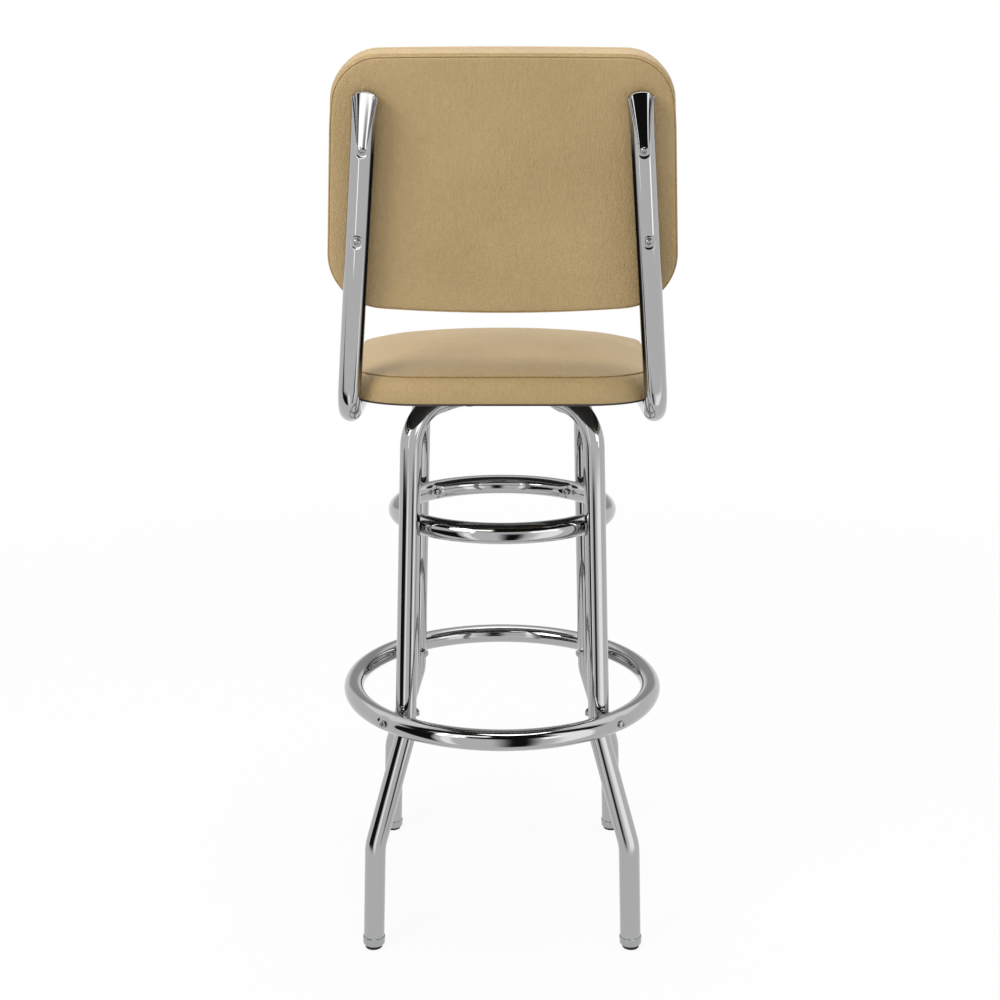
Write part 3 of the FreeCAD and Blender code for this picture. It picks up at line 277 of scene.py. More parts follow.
blackRubber = {"colour": "#1b1b1c", "worn": "#242425", "low": 0.6, "high": 0.8, "grainMm": 0.8,
               "grainHighMm": 0.15, "tintMm": 11, "patchMm": 7}
blackPlastic = {"colour": "#191a1b", "worn": "#212223", "low": 0.34, "high": 0.46, "grainMm": 0.9,
                "grainHighMm": 0.12, "tintMm": 11, "patchMm": 7}


def birchPlywood():
    # birch plywood stained dark: rotary-cut face with long grain, and its plies on the edges
    look = {"face": "#2b2622", "vein": "#1d1917", "ply": "#3d3229", "grainMm": 3.2, "plyMm": 1.5,
            "low": 0.55, "high": 0.72, "patchMm": 9, "grainStrength": 0.25, "grainHighMm": 0.3}
    material, tree = newMaterial("birchPlywood")
    place = addNode(tree, "TexCoord").outputs["Object"]
    stretched = addNode(tree, "Mapping", {"Vector": place, "Scale": (1.0, 0.06, 1.0)})
    grain = addNode(tree, "TexNoise", {"Vector": stretched.outputs["Vector"], "Scale": 1000 / look["grainMm"],
                                       "Detail": 8, "Roughness": 0.65, "Distortion": 0.4})
    ramp = addNode(tree, "ValToRGB", {"Fac": grain.outputs["Fac"]})
    for stop, position, colour in zip(ramp.color_ramp.elements, (0.32, 0.6), (look["vein"], look["face"])):
        stop.position, stop.color = position, linear(colour)
    height = addNode(tree, "SeparateXYZ", {"Vector": place}).outputs["Z"]
    level = addNode(tree, "Math", {0: height, 1: math.pi * 1000 / look["plyMm"]}, operation="MULTIPLY")
    wave = addNode(tree, "Math", {0: level.outputs[0]}, operation="SINE")
    ply = addNode(tree, "MapRange", {"Value": wave.outputs[0], "From Min": -0.2, "From Max": 0.2})
    facing = addNode(tree, "SeparateXYZ", {"Vector": addNode(tree, "NewGeometry").outputs["Normal"]})
    flat = addNode(tree, "Math", {0: facing.outputs["Z"]}, operation="ABSOLUTE")
    edge = addNode(tree, "MapRange", {"Value": flat.outputs[0], "From Min": 0.6, "From Max": 0.4})
    share = addNode(tree, "Math", {0: edge.outputs["Result"], 1: ply.outputs["Result"]}, operation="MULTIPLY")
    mix = addNode(tree, "Mix", {"Factor": share.outputs[0], 6: ramp.outputs["Color"],
                                7: linear(look["ply"])}, data_type="RGBA")
    bump = addNode(tree, "Bump", {"Height": grain.outputs["Fac"], "Strength": look["grainStrength"],
                                  "Distance": look["grainHighMm"] * mm})
    shader = addNode(tree, "BsdfPrincipled", {
        "Base Color": mix.outputs[2], "Normal": bump.outputs["Normal"],
        "Roughness": patchyRoughness(tree, place, look["patchMm"], look["low"], look["high"])})
    addNode(tree, "OutputMaterial", {"Surface": shader.outputs[0]})
    return material


def tanVinyl():
    # upholstery vinyl, calendered PVC embossed with a leather grain: a satin tan skin, with
    # small pebbles, short upright creases and a slow drift of colour; the creases' valleys
    # are painted a darker tan as painted shade
    look = {"colour": "#bca070", "deep": "#ad9262", "pebbleMm": 2.2, "creaseMm": 3.4, "driftMm": 120,
            "low": 0.36, "high": 0.48, "patchMm": 30, "pebbleStrength": 0.5, "pebbleHighMm": 0.5,
            "creaseStrength": 0.6, "creaseHighMm": 1.5}
    material, tree = newMaterial("tanVinyl")
    place = addNode(tree, "TexCoord").outputs["Object"]
    drift = addNode(tree, "TexNoise", {"Vector": place, "Scale": 1000 / look["driftMm"], "Detail": 2})
    pebble = addNode(tree, "TexVoronoi", {"Vector": place, "Scale": 1000 / look["pebbleMm"],
                                          "Randomness": 1.0}, feature="DISTANCE_TO_EDGE")
    valley = addNode(tree, "MapRange", {"Value": pebble.outputs["Distance"], "From Min": 0.0,
                                        "From Max": 0.22}, interpolation_type="SMOOTHSTEP")
    upright = addNode(tree, "Mapping", {"Vector": place, "Scale": (1.0, 1.0, 0.3)})
    crease = addNode(tree, "TexNoise", {"Vector": upright.outputs["Vector"], "Scale": 1000 / look["creaseMm"],
                                        "Detail": 5, "Roughness": 0.6, "Distortion": 0.3})
    # painted shade: the colour goes to the darker tan where the creases sink, added to the slow drift
    shade = addNode(tree, "Math", {0: crease.outputs["Fac"], 1: 0.7, 2: drift.outputs["Fac"]},
                    operation="MULTIPLY_ADD")
    share = addNode(tree, "MapRange", {"Value": shade.outputs[0], "From Min": 0.6, "From Max": 1.15})
    mix = addNode(tree, "Mix", {"Factor": share.outputs["Result"], 6: linear(look["deep"]),
                                7: linear(look["colour"])}, data_type="RGBA")
    fine = addNode(tree, "Bump", {"Height": valley.outputs["Result"], "Strength": look["pebbleStrength"],
                                  "Distance": look["pebbleHighMm"] * mm})
    bump = addNode(tree, "Bump", {"Height": crease.outputs["Fac"], "Strength": look["creaseStrength"],
                                  "Distance": look["creaseHighMm"] * mm, "Normal": fine.outputs["Normal"]})
    shader = addNode(tree, "BsdfPrincipled", {
        "Base Color": mix.outputs[2], "IOR": 1.52, "Normal": bump.outputs["Normal"],
        "Sheen Weight": 0.08, "Sheen Roughness": 0.4,
        "Roughness": patchyRoughness(tree, place, look["patchMm"], look["low"], look["high"])})
    addNode(tree, "OutputMaterial", {"Surface": shader.outputs[0]})
    return material


finishes = {
    "chrome_tube": chromed("chromePlate", chromePlate),
    "chrome_fastener": chromed("chromeFastener", chromeFastener),
    "zinc_steel": zincSteel(),
    "ball_steel": ballSteel(),
    "black_rubber": mouldedPart("blackRubber", blackRubber),
    "black_plastic": mouldedPart("blackPlastic", blackPlastic),
    "plywood": birchPlywood(),
    "tan_vinyl": tanVinyl(),
}
print("stage: materials,", len(finishes))


# Shared places, as the part's source has them, in millimetres; a knee is (radius, level)

stool = {"tube": 12.7, "frameTop": 668.0, "frameTopRadius": 149.9, "frameBend": 50.0, "kneeBend": 46.0,
         "upperKnee": (167.6, 264.0), "lowerKnee": (219.2, 134.0), "foot": 225.1, "legEnd": 5.0,
         "upperRing": 522.0, "footRing": 288.0, "recline": 16.0, "seatLow": 685.0, "gap": 0.1}
tube = stool["tube"]
leanShare = (stool["upperKnee"][0] - stool["frameTopRadius"]) / (stool["frameTop"] - stool["upperKnee"][1])
footLean = (stool["lowerKnee"][0] - stool["foot"]) / stool["lowerKnee"][1]
legEndRadius = stool["foot"] + footLean * stool["legEnd"]
legTurns = np.radians([45, 135, 225, 315])
legDirections = np.stack([np.cos(legTurns), np.sin(legTurns), 0 * legTurns], -1)


def legRadius(level):
    # distance of the leg's line from the swivel axis at a height
    return stool["frameTopRadius"] + (stool["frameTop"] - level) * leanShare


# Crossed leg frames

def legFrame(name, node, turn, pressedLevel):
    # tube on an inverted U: line + half width x cosine to the side + half height x sine, the
    # last clipped flat; between the bends both halves go from round to a flat oval and the
    # line drops to the level where the two frames meet
    look = {"pressHalf": 77.0, "pressWide": 18.0, "pressHigh": 3.25, "fullness": 1.12, "clipped": 0.02,
            "bendShare": 0.96, "nearTop": 30.0, "rings": 72, "step": 2.5}
    top, radius, bend = stool["frameTop"], stool["frameTopRadius"], stool["frameBend"]
    low, high = stool["lowerKnee"], stool["upperKnee"]
    half = [(legEndRadius, 0, stool["legEnd"]), (low[0], 0, low[1]), (high[0], 0, high[1]), (radius, 0, top)]
    corners = half + [(-x, y, z) for x, y, z in reversed(half)]
    radii = [stool["kneeBend"], stool["kneeBend"], bend]
    line = roundedPath(np.array(corners) * mm, np.array(radii + radii[::-1]) * mm, look["step"] * mm)
    away = np.abs(line[:, 0]) / mm
    pressed = 1 - smoothStep(away, look["pressHalf"], radius - bend * look["bendShare"] + 2)
    share = np.where(line[:, 2] / mm > top - look["nearTop"], pressed, 0)[:, None]
    line[:, 2] += share[:, 0] * (pressedLevel - top) * mm
    angle = fullTurn(look["rings"])
    wide = (tube + (look["pressWide"] - tube) * share) * mm * np.cos(angle)
    tall = (tube + (look["pressHigh"] * look["fullness"] - tube) * share) * mm * np.sin(angle)
    clip = (tube + (look["pressHigh"] - look["clipped"] - tube) * share) * mm
    side = np.array([0, 1.0, 0])
    other = np.cross(unit(np.gradient(line, axis=0)), side)
    grid = line[:, None] + wide[..., None] * side + np.clip(tall, -clip, clip)[..., None] * other[:, None]
    grid = aboutAxis(np.concatenate([toPoint(grid[:1]), grid, toPoint(grid[-1:])]), turn)
    meshPiece(name, [grid], "base", [node], "chrome_tube")


legFrame("legFrameLower", "leg_frame_lower", math.radians(45), 664.25)
legFrame("legFrameUpper", "leg_frame_upper", math.radians(-45), 670.75)
print("stage: leg frames")


# Rings with a pressed flat at each screw

def ringTube(name, node, radius, level, outside):
    # torus, radius + tube x cosine out and tube x sine up; near each screw line the skin goes
    # towards the tube's middle by depth x exp(-(distance / reach)^4)
    look = {"around": 480, "rings": 60, "pressDeep": 1.7, "pressReach": 9.5}
    big, small = radius * mm, tube * mm
    u, v = fullTurn(look["around"])[:, None], fullTurn(look["rings"])[None]
    sign = 1 if outside else -1
    across = np.min(np.abs((u[..., None] - legTurns + np.pi) % (2 * np.pi) - np.pi), -1) * big
    away = np.sqrt(across ** 2 + (small * np.sin(v)) ** 2) / mm
    facing = smoothStep(sign * np.cos(v), 0.0, 0.3)
    depth = look["pressDeep"] * mm * np.exp(-(away / look["pressReach"]) ** 4) * facing
    reach = big + small * np.cos(v) - sign * depth
    grid = np.stack([reach * np.cos(u), reach * np.sin(u), level * mm + small * np.sin(v) + 0 * u], -1)
    meshPiece(name, [np.concatenate([grid, grid[:1]])], "base", [node], "chrome_tube")


upperRingRadius = legRadius(stool["upperRing"]) - 2 * tube - stool["gap"]
footRingRadius = legRadius(stool["footRing"]) + 2 * tube + stool["gap"]
ringTube("upperRing", "upper_ring", upperRingRadius, stool["upperRing"], False)
ringTube("footRing", "foot_ring", footRingRadius, stool["footRing"], True)
print("stage: rings")


# Screws with a domed head and a cross recess

def domedScrew(place, heading, look, length):
    # head level = rise x (rim share + the rest x root of 1 - (r / head)^2.4), less a cross
    # whose two arms fade at the sides; rim, shank and tip are turned about the same line
    shape = {"rings": 48, "rim": 0.28, "roundness": 2.4, "arm": 0.14, "armFade": 1.8, "crossFull": 0.5,
             "crossEnd": 0.62, "crossDeep": 0.8}
    head, rise, shank = look["head"] * mm, look["rise"] * mm, look["shank"] * mm
    across, third = sideAxes(heading)
    angle = fullTurn(shape["rings"])
    r = np.concatenate([np.linspace(0, 0.95, 16), [0.985, 1.0]])[:, None] * head
    x, y = r * np.cos(angle), r * np.sin(angle)
    arm, armEnd = head * shape["arm"], head * shape["arm"] * shape["armFade"]
    cross = np.maximum(1 - smoothStep(np.abs(x), arm, armEnd), 1 - smoothStep(np.abs(y), arm, armEnd))
    cross = cross * (1 - smoothStep(r, head * shape["crossFull"], head * shape["crossEnd"]))
    dome = np.sqrt(np.clip(1 - (r / head) ** shape["roundness"], 0, 1))
    level = cross * rise * shape["crossDeep"] - rise * (shape["rim"] + (1 - shape["rim"]) * dome)
    top = place + level[..., None] * heading + x[..., None] * across + y[..., None] * third
    profile = np.array([(head, 0), (shank, 0), (shank, length), (0, length)])
    return np.concatenate([top, turned(profile, place, heading, shape["rings"])])


def ringScrewSet(name, node, level, headFace, tipFace):
    # headFace and tipFace are distances from the swivel axis; the head stands off headFace
    look = {"head": 5.0, "rise": 3.0, "shank": 3.0}
    sign = 1 if tipFace > headFace else -1
    screws = [domedScrew((direction * headFace + [0, 0, level]) * mm, direction * sign, look,
                         abs(tipFace - headFace) * mm) for direction in legDirections]
    meshPiece(name, screws, "base", [node], "chrome_fastener")


ringScrews = {"sunk": 1.2, "nutSide": 5.5}
ringScrewSet("upperRingScrews", "upper_ring_screws", stool["upperRing"],
             upperRingRadius - tube + ringScrews["sunk"], legRadius(stool["upperRing"]))
ringScrewSet("footRingScrews", "foot_ring_screws", stool["footRing"],
             footRingRadius + tube - ringScrews["sunk"],
             legRadius(stool["footRing"]) - tube - ringScrews["nutSide"])
print("stage: ring screws")


# Glide caps and pads

def footGlides():
    # turned profiles: a cup with a rounded foot and a low bead over the tube's end, and a disc
    # with a stem that goes up into the cup
    look = {"capIn": 12.75, "capWall": 0.8, "capHigh": 11.0, "capEdge": 2.6, "capHole": 4.3, "bead": 0.25,
            "capRings": 56, "padRadius": 10.5, "padHigh": 3.0, "padEdge": 0.9, "padSlope": 0.8, "stem": 4.0,
            "stemHigh": 6.2, "padRings": 48}
    inner, wall, top, hole = look["capIn"], look["capWall"], look["capHigh"], look["capHole"]
    outer, edge = inner + wall, look["capEdge"]
    turn = np.linspace(0, np.pi / 2, 8)
    foot = np.stack([outer - edge * (1 - np.sin(turn)), edge * (1 - np.cos(turn))], -1)
    capProfile = np.concatenate([
        [(hole, wall), (hole, 0)], foot,
        [(outer, 6.0), (outer + look["bead"], 8.0), (outer, top - 0.6), (outer - 0.3, top),
         (inner + 0.1, top), (inner, top - 1), (inner, wall), (hole, wall)]]) * mm
    radius, high, edge, stem = look["padRadius"], look["padHigh"], look["padEdge"], look["stem"]
    turn = np.linspace(0, np.pi / 2, 5)
    padProfile = np.concatenate([
        [(0, 0), (radius - edge, 0)],
        np.stack([radius - edge + edge * np.sin(turn), edge * (1 - np.cos(turn))], -1),
        [(radius, high - look["padSlope"]), (radius - look["padSlope"], high), (stem, high),
         (stem, look["stemHigh"]), (0, look["stemHigh"])]]) * mm
    upright = np.array([0, 0, 1.0])
    caps, pads = [], []
    for direction in legDirections:
        lean = unit(direction * footLean + upright)
        end = (direction * legEndRadius + upright * stool["legEnd"]) * mm
        caps.append(turned(capProfile, end - lean * wall * mm, lean, look["capRings"]))
        pads.append(turned(padProfile, direction * stool["foot"] * mm, upright, look["padRings"]))
    meshPiece("glideCaps", caps, "base", ["glide_caps"], "chrome_fastener")
    meshPiece("glidePads", pads, "base", ["glide_pads"], "black_rubber")


footGlides()
print("stage: glides")


# Back posts

slope = math.radians(stool["recline"])
rearward = np.array([0, math.cos(slope), -math.sin(slope)])
runLevel = stool["seatLow"] - tube - stool["gap"]
post = {"spread": 171.5, "front": 128.0, "corner": 182.0, "bend": 45.0, "drawIn": 35.5, "top": 1011.0,
        "scoop": 58.0, "wall": 3.2, "floorDeep": 4.5, "flare": 1.5, "arch": 4.0, "gutterStart": 0.36,
        "gutterSpread": 0.6, "gutterPower": 6, "screws": (83.0, 178.0), "backLow": 791.5,
        "bolts": (-95.0, 2.0), "spotDeep": 1.9, "spotReach": 6.8, "spotFade": 0.9, "spotSkin": 6.0}


def postPoint(side, level):
    # centre line of the leaning part of a post at a height
    share = (level - runLevel) / (post["top"] - runLevel)
    return np.array([side * (post["spread"] - post["drawIn"] * share),
                     post["corner"] + (level - runLevel) * math.tan(slope), level])


backOrigin = (postPoint(0, post["backLow"] - tube * math.sin(slope))
              - rearward * (tube + stool["gap"]))
backUp = np.array([0, math.sin(slope), math.cos(slope)])
backFront = -rearward


def onBack(local):
    # from the back's own plane (across, up the slope, forward) to the stool's axes
    return (backOrigin * mm + local[..., :1] * np.array([1.0, 0, 0]) + local[..., 1:2] * backUp
            + local[..., 2:3] * backFront)


def backScrewPlace(side, reach):
    # where a back screw's line crosses the rear face of the back
    level = backOrigin[2] + reach * math.cos(slope) - tube * math.sin(slope)
    return postPoint(side, level) - rearward * (tube + stool["gap"])


def pressSpot(grid, place, outward):
    # skin within reach of a screw line, on its outer side, is pressed inward to a flat
    offset = grid - place
    level = offset @ outward
    away = np.linalg.norm(offset - level[..., None] * outward, axis=-1) / mm
    hold = 1 - smoothStep(away, post["spotReach"] - post["spotFade"], post["spotReach"] + post["spotFade"])
    floor = -post["spotDeep"] * mm
    sunk = np.where((level > floor) & (level > -post["spotSkin"] * mm), level - floor, 0) * hold
    return grid - sunk[..., None] * outward


def backPost(name, node, side):
    # tube: across x cosine + rear x sine round a path with one bend; scoop: with x the cosine
    # and share the way up it, the rear half's depth is round + (floor - round) x share x
    # (1 - (x / reach)^power), the reach grows with share, and the top edge falls by x squared
    look = {"rings": 144, "step": 1.0, "scoopRows": 72, "lipRows": 7, "lipBulge": 0.5, "lipGap": 3.0}
    rings = look["rings"]
    front = np.array([side * post["spread"], -post["front"], runLevel])
    corner, top = postPoint(side, runLevel), postPoint(side, post["top"])
    up = unit(top - corner)
    start = top - up * post["scoop"]
    line = roundedPath(np.array([front, corner, start]) * mm, [post["bend"] * mm], look["step"] * mm)
    heading = unit(np.gradient(line, axis=0))
    across = unit(np.cross(rearward, up))
    rear = unit(np.cross(heading, across))  # the section's axes turn with the bend
    sideways = np.cross(rear, heading)
    angle = fullTurn(rings)
    x, y = np.cos(angle), np.sin(angle)
    section = x[:, None] * sideways[:, None] + y[:, None] * rear[:, None]
    tubeGrid = line[:, None] + tube * mm * section
    s = np.linspace(0, 1, look["scoopRows"])[1:, None] * (post["scoop"] - post["arch"] * x ** 2)
    share = s / post["scoop"]
    wide = tube + post["flare"] * share ** 3
    skin = np.sqrt(np.clip(1 - x ** 2, 0, 1)) * tube
    reach = post["gutterStart"] + post["gutterSpread"] * share
    window = np.clip(1 - (x / reach) ** post["gutterPower"], 0, 1)
    floor = np.maximum(post["wall"] - skin, -post["floorDeep"])
    depth = np.where(y >= 0, skin + (floor - skin) * share * window, -skin)
    scoop = (start * mm + (s * mm)[..., None] * up + (wide * x * mm)[..., None] * across
             + (depth * mm)[..., None] * rearward)
    grid = np.concatenate([tubeGrid, scoop])
    # pressed spots under the screws' heads and under the run's bolts
    for reachAlong in post["screws"]:
        place = backScrewPlace(side, reachAlong) + rearward * (2 * tube + stool["gap"])
        grid = pressSpot(grid, place * mm, rearward)
    for along in post["bolts"]:
        place = np.array([side * post["spread"], along, runLevel - tube])
        grid = pressSpot(grid, place * mm, np.array([0, 0, -1.0]))
    # rounded end face between the front and the rear wall
    half = np.arange(rings // 2 + 1)
    nearSide, farSide = grid[-1][half], grid[-1][(rings - half) % rings]
    blend = np.linspace(0, 1, look["lipRows"])[:, None, None]
    bulge = np.sin(np.pi * blend) ** 0.7 * look["lipBulge"] * mm
    gap = np.linalg.norm(nearSide - farSide, axis=-1)[None, :, None] / (look["lipGap"] * mm)
    end = nearSide * (1 - blend) + farSide * blend + bulge * np.clip(gap, 0, 1) * up
    # the front end is closed behind the plug's rim
    meshPiece(name, [np.concatenate([toPoint(grid[:1]), grid])], "seat", [node], "chrome_tube", [end])


def backScrewSet():
    # heads sunk a little into the posts' rear skin, shanks that run forward into the back
    look = {"head": 4.0, "rise": 2.6, "shank": 2.5, "length": 38.0, "sunk": 1.3}
    outward = rearward * (2 * tube + stool["gap"] - look["sunk"])
    screws = [domedScrew((backScrewPlace(side, reach) + outward) * mm, -rearward, look, look["length"] * mm)
              for side in (1, -1) for reach in post["screws"]]
    meshPiece("backScrews", screws, "seat", ["back_screws"], "chrome_fastener")


backPost("backPostLeft", "back_post_left", 1)
backPost("backPostRight", "back_post_right", -1)
backScrewSet()
print("stage: back posts")


# Upholstery: outlines, seams and the padded form

outlineStep = 3.0
seat = {"rear": 207, "rearHalf": 168, "rearCorner": 80, "front": 200, "frontHalf": 191, "frontCorner": 90}
back = {"lowHalf": 189.5, "lowCorner": 58, "topHalf": 170, "topCorner": 50, "high": 267, "middle": 133.5,
        "lowBow": 5.0, "lowBowHalf": 131, "topBow": 1.2, "topBowHalf": 150}


def seatOutline():
    # a trapezium with rounded corners, wider at the front
    points = [(seat["rearHalf"], seat["rear"]), (-seat["rearHalf"], seat["rear"]),
              (-seat["frontHalf"], -seat["front"]), (seat["frontHalf"], -seat["front"])]
    radii = [seat["rearCorner"]] * 2 + [seat["frontCorner"]] * 2
    return roundedPath(np.array(points) * mm, np.array(radii) * mm, outlineStep * mm, True)


def backOutline():
    # both edges are bowed: each goes out by bow x (1 - (x / half)^2)
    points = [(back["lowHalf"], 0), (back["topHalf"], back["high"]), (-back["topHalf"], back["high"]),
              (-back["lowHalf"], 0)]
    radii = [back["lowCorner"], back["topCorner"], back["topCorner"], back["lowCorner"]]
    line = roundedPath(np.array(points) * mm, np.array(radii) * mm, outlineStep * mm, True)
    x, y = line[:, 0] / mm, line[:, 1] / mm
    low = np.clip(1 - (x / back["lowBowHalf"]) ** 2, 0, 1) * (1 - smoothStep(y, 0, 30))
    top = np.clip(1 - (x / back["topBowHalf"]) ** 2, 0, 1) * smoothStep(y, 225, 265)
    line[:, 1] += (back["topBow"] * top - back["lowBow"] * low) * mm
    return line


def rearSeamDraw(outline):
    # how much further in than its usual inset the rear seam lies: most along the top
    look = {"sides": -1.4, "topMore": 3.0, "from": 190, "to": 262}
    return (look["sides"] + look["topMore"] * smoothStep(outline[:, 1] / mm, look["from"], look["to"])) * mm


def ringRows(outline, rows, seam=None):
    # the outline drawn in by each row's inset, at each row's level; the rear seam's own draw
    # is added in full below the seam's first level and not at all above its second
    inset = np.repeat(rows[:, :1], len(outline), 1)
    if seam:
        inset = inset + (1 - smoothStep(rows[:, 1:] / mm, *seam)) * rearSeamDraw(outline)
    flat = outline - inset[..., None] * outward2d(outline)
    return np.concatenate([flat, np.broadcast_to(rows[:, 1, None, None], flat.shape[:2] + (1,))], -1)


def seamStrip(outline, loop, seam=None):
    # strip of vinyl carried round the outline; its section, a loop of (inset, level), has each
    # corner cut at a quarter of its sides, twice
    for i in range(2):
        ahead = np.roll(loop, -1, axis=0)
        loop = np.stack([0.75 * loop + 0.25 * ahead, 0.25 * loop + 0.75 * ahead], 1).reshape(-1, 2)
    return ringRows(outline, np.concatenate([loop, loop[:1]]) * mm, seam)


def capRows(edgeRow, middle, count):
    # flat rows from the edge to the middle
    t = np.linspace(1, 0, count + 1)[1:, None, None]
    flat = middle + (edgeRow[:, :2] - middle) * t
    return np.concatenate([flat, edgeRow[:, 2:] + 0 * t], -1)


def gathers(outline, length):
    # uneven small waves along the outline, as vinyl gathers where it is sewn: waves of three
    # whole counts round the outline, each growing and fading along it
    share = np.arange(len(outline)) / len(outline) * 2 * np.pi
    run = np.linalg.norm(np.diff(outline, axis=0), axis=1).sum() / mm
    waves = 0
    for scale, phase, swell in ((1.0, 0.4, 3), (0.63, 2.1, 5), (0.41, 4.4, 7)):
        count = round(run / (length * scale))
        waves = waves + scale * np.sin(count * share + phase) * (0.6 + 0.4 * np.sin(swell * share + phase))
    return waves / 2


def paddedForm(outline, rows, dome, roll):
    # hidden bottom and sides, then a roll that leaves the seam upright and runs into a dome
    # without a step: level = dome - (dome at the edge - seam) x (1 - sine of the turn)
    out = outward2d(outline)
    middle = np.array(dome["middle"]) * mm

    def domeLevel(flat):
        away = np.linalg.norm(flat - middle, axis=-1) / (dome["reach"] * mm)
        return (dome["crown"] - dome["drop"] * away ** 2) * mm

    side = ringRows(outline, rows * mm)
    start, seam = rows[-1] * mm
    turn = np.linspace(0, np.pi / 2, roll["count"])[1:, None]
    inset = start + roll["wide"] * mm * (1 - np.cos(turn) ** (2 / roll["power"]))
    wave = gathers(outline, roll["waveMm"]) * roll["gather"] * mm * np.sin(2 * turn) ** 2
    flat = outline - (inset - wave)[..., None] * out
    edge = domeLevel(outline - start * out)
    level = domeLevel(flat) - (edge - seam) * (1 - np.sin(turn) ** (2 / roll["power"]))
    upper = np.concatenate([flat, level[..., None]], -1)
    inner = middle + (flat[-1] - middle) * np.linspace(1, 0, 41)[1:, None, None]
    top = np.concatenate([inner, domeLevel(inner)[..., None]], -1)
    return np.concatenate([capRows(side[0], middle, 16)[::-1], side, upper, top])


# Upholstery: the cloth's slack between the seams

cloth = {"voxelMm": 8.0, "pressure": 4.0, "stiff": 18.0, "bend": 2.5, "quality": 6, "frames": 20,
         "patchMm": 11.0}


def patchMean(points, sources, values, reach):
    # mean of the values at the sources round each point, weighted by a bell of this reach
    result = np.empty((len(points), values.shape[1]))
    for first in range(0, len(points), 2000):
        some = points[first:first + 2000]
        apart = (some ** 2).sum(1)[:, None] + (sources ** 2).sum(1)[None] - 2 * some @ sources.T
        weight = np.exp(-np.maximum(apart, 0) / (2 * reach ** 2)) + 1e-30
        result[first:first + 2000] = weight @ values / weight.sum(1)[:, None]
    return result


def triples(items, field):
    # one three-part value of every item, as an array
    flat = np.empty(len(items) * 3)
    items.foreach_get(field, flat)
    return flat.reshape(-1, 3)


def inflate(piece, held, capMm):
    # cloth under pressure: a copy of even faces, pinned where it is sewn, runs a short
    # simulation; the outward part of its movement, evened over a patch and kept below the
    # cap, goes into the piece
    scene = bpy.context.scene
    mesh = bpy.data.meshes.new_from_object(piece)
    copy = addObject("clothCopy", mesh)
    bpy.context.view_layer.objects.active = copy
    remesh = copy.modifiers.new("remesh", "REMESH")
    remesh.mode, remesh.voxel_size = "VOXEL", cloth["voxelMm"] * mm
    bpy.ops.object.modifier_apply(modifier=remesh.name)
    before = triples(copy.data.vertices, "co")
    pins = np.round(held(before), 1)
    group = copy.vertex_groups.new(name="held")
    for value in np.unique(pins[pins > 0]):
        group.add(np.nonzero(pins == value)[0].tolist(), float(value), "REPLACE")
    modifier = copy.modifiers.new("cloth", "CLOTH")
    settings = modifier.settings
    settings.use_pressure, settings.uniform_pressure_force = True, cloth["pressure"]
    settings.effector_weights.gravity = 0
    settings.quality = cloth["quality"]
    settings.tension_stiffness = settings.compression_stiffness = cloth["stiff"]
    settings.bending_stiffness = cloth["bend"]
    settings.vertex_group_mass = "held"
    modifier.point_cache.frame_end = cloth["frames"]
    for number in range(1, cloth["frames"] + 1):
        scene.frame_set(number)
    shaped = copy.evaluated_get(bpy.context.evaluated_depsgraph_get())
    step = triples(shaped.data.vertices, "co") - before
    scene.frame_set(1)
    bpy.data.objects.remove(copy)
    bpy.data.meshes.remove(mesh)
    points = triples(piece.data.vertices, "co")
    normals = triples(piece.data.vertex_normals, "vector")
    shift = patchMean(points, before, step, cloth["patchMm"] * mm)
    outward = np.clip((shift * normals).sum(1), 0, None)
    outward = capMm * mm * np.tanh(outward / (capMm * mm)) * (1 - held(points))
    print("   cloth moved", piece.name, np.round(outward.max() / mm, 1), "mm")
    piece.data.vertices.foreach_set("co", (points + outward[:, None] * normals).ravel())
    piece.data.update()


# Upholstery: the pieces; rows and loops are (inset, level) in millimetres

def seatCushion():
    # pad that stands on the board inside the band, comes out of the seam between two soft
    # lips, and swells over it to a roll and a low crown
    rows = np.array([(14.0, 698.8), (4.5, 699.4), (3.6, 701.5), (3.6, 705.6), (5.0, 707.8), (9.4, 709.9),
                     (11.4, 712.6), (11.0, 715.0), (9.2, 716.2), (7.6, 716.6), (6.6, 717.0), (6.1, 717.6),
                     (6.0, 718.3)])
    dome = {"middle": (0, 3.5), "crown": 739.4, "drop": 12.6, "reach": 191.0}
    roll = {"wide": 46.0, "power": 1.2, "count": 24, "gather": 0.5, "waveMm": 22.0}
    sewn = {"full": 717, "free": 726, "capMm": 2.0}
    piece = meshPiece("seatCushion", [paddedForm(seatOutline(), rows, dome, roll)], "seat",
                      ["seat_top_panel", "seat_foam"], "tan_vinyl")
    inflate(piece, lambda p: 1 - smoothStep(p[:, 2] / mm, sewn["full"], sewn["free"]), sewn["capMm"])


def seatBand():
    # bulged side, rounded lower edge, hem under the board, and a lip that dives into the seam
    loop = np.array([
        (10.6, 713.6), (9.4, 715.6), (8.0, 716.6), (6.6, 716.8), (4.6, 715.9), (2.4, 713.5), (0.7, 710.2),
        (-0.5, 706.0), (-0.9, 701.5), (-0.7, 697.0), (0.0, 692.6), (1.0, 688.8), (3.0, 686.1), (5.8, 685.1),
        (8.4, 685.0), (10.0, 685.1), (10.4, 685.6), (9.6, 685.9), (7.0, 685.9), (4.2, 686.4), (2.2, 689.3),
        (1.2, 693.0), (0.7, 697.0), (0.6, 701.5), (1.0, 705.8), (2.1, 709.6), (3.6, 712.6), (5.5, 714.6),
        (6.9, 715.2), (8.2, 714.3), (9.6, 712.6)])
    meshPiece("seatBand", [seamStrip(seatOutline(), loop)], "seat", ["seat_band"], "tan_vinyl")


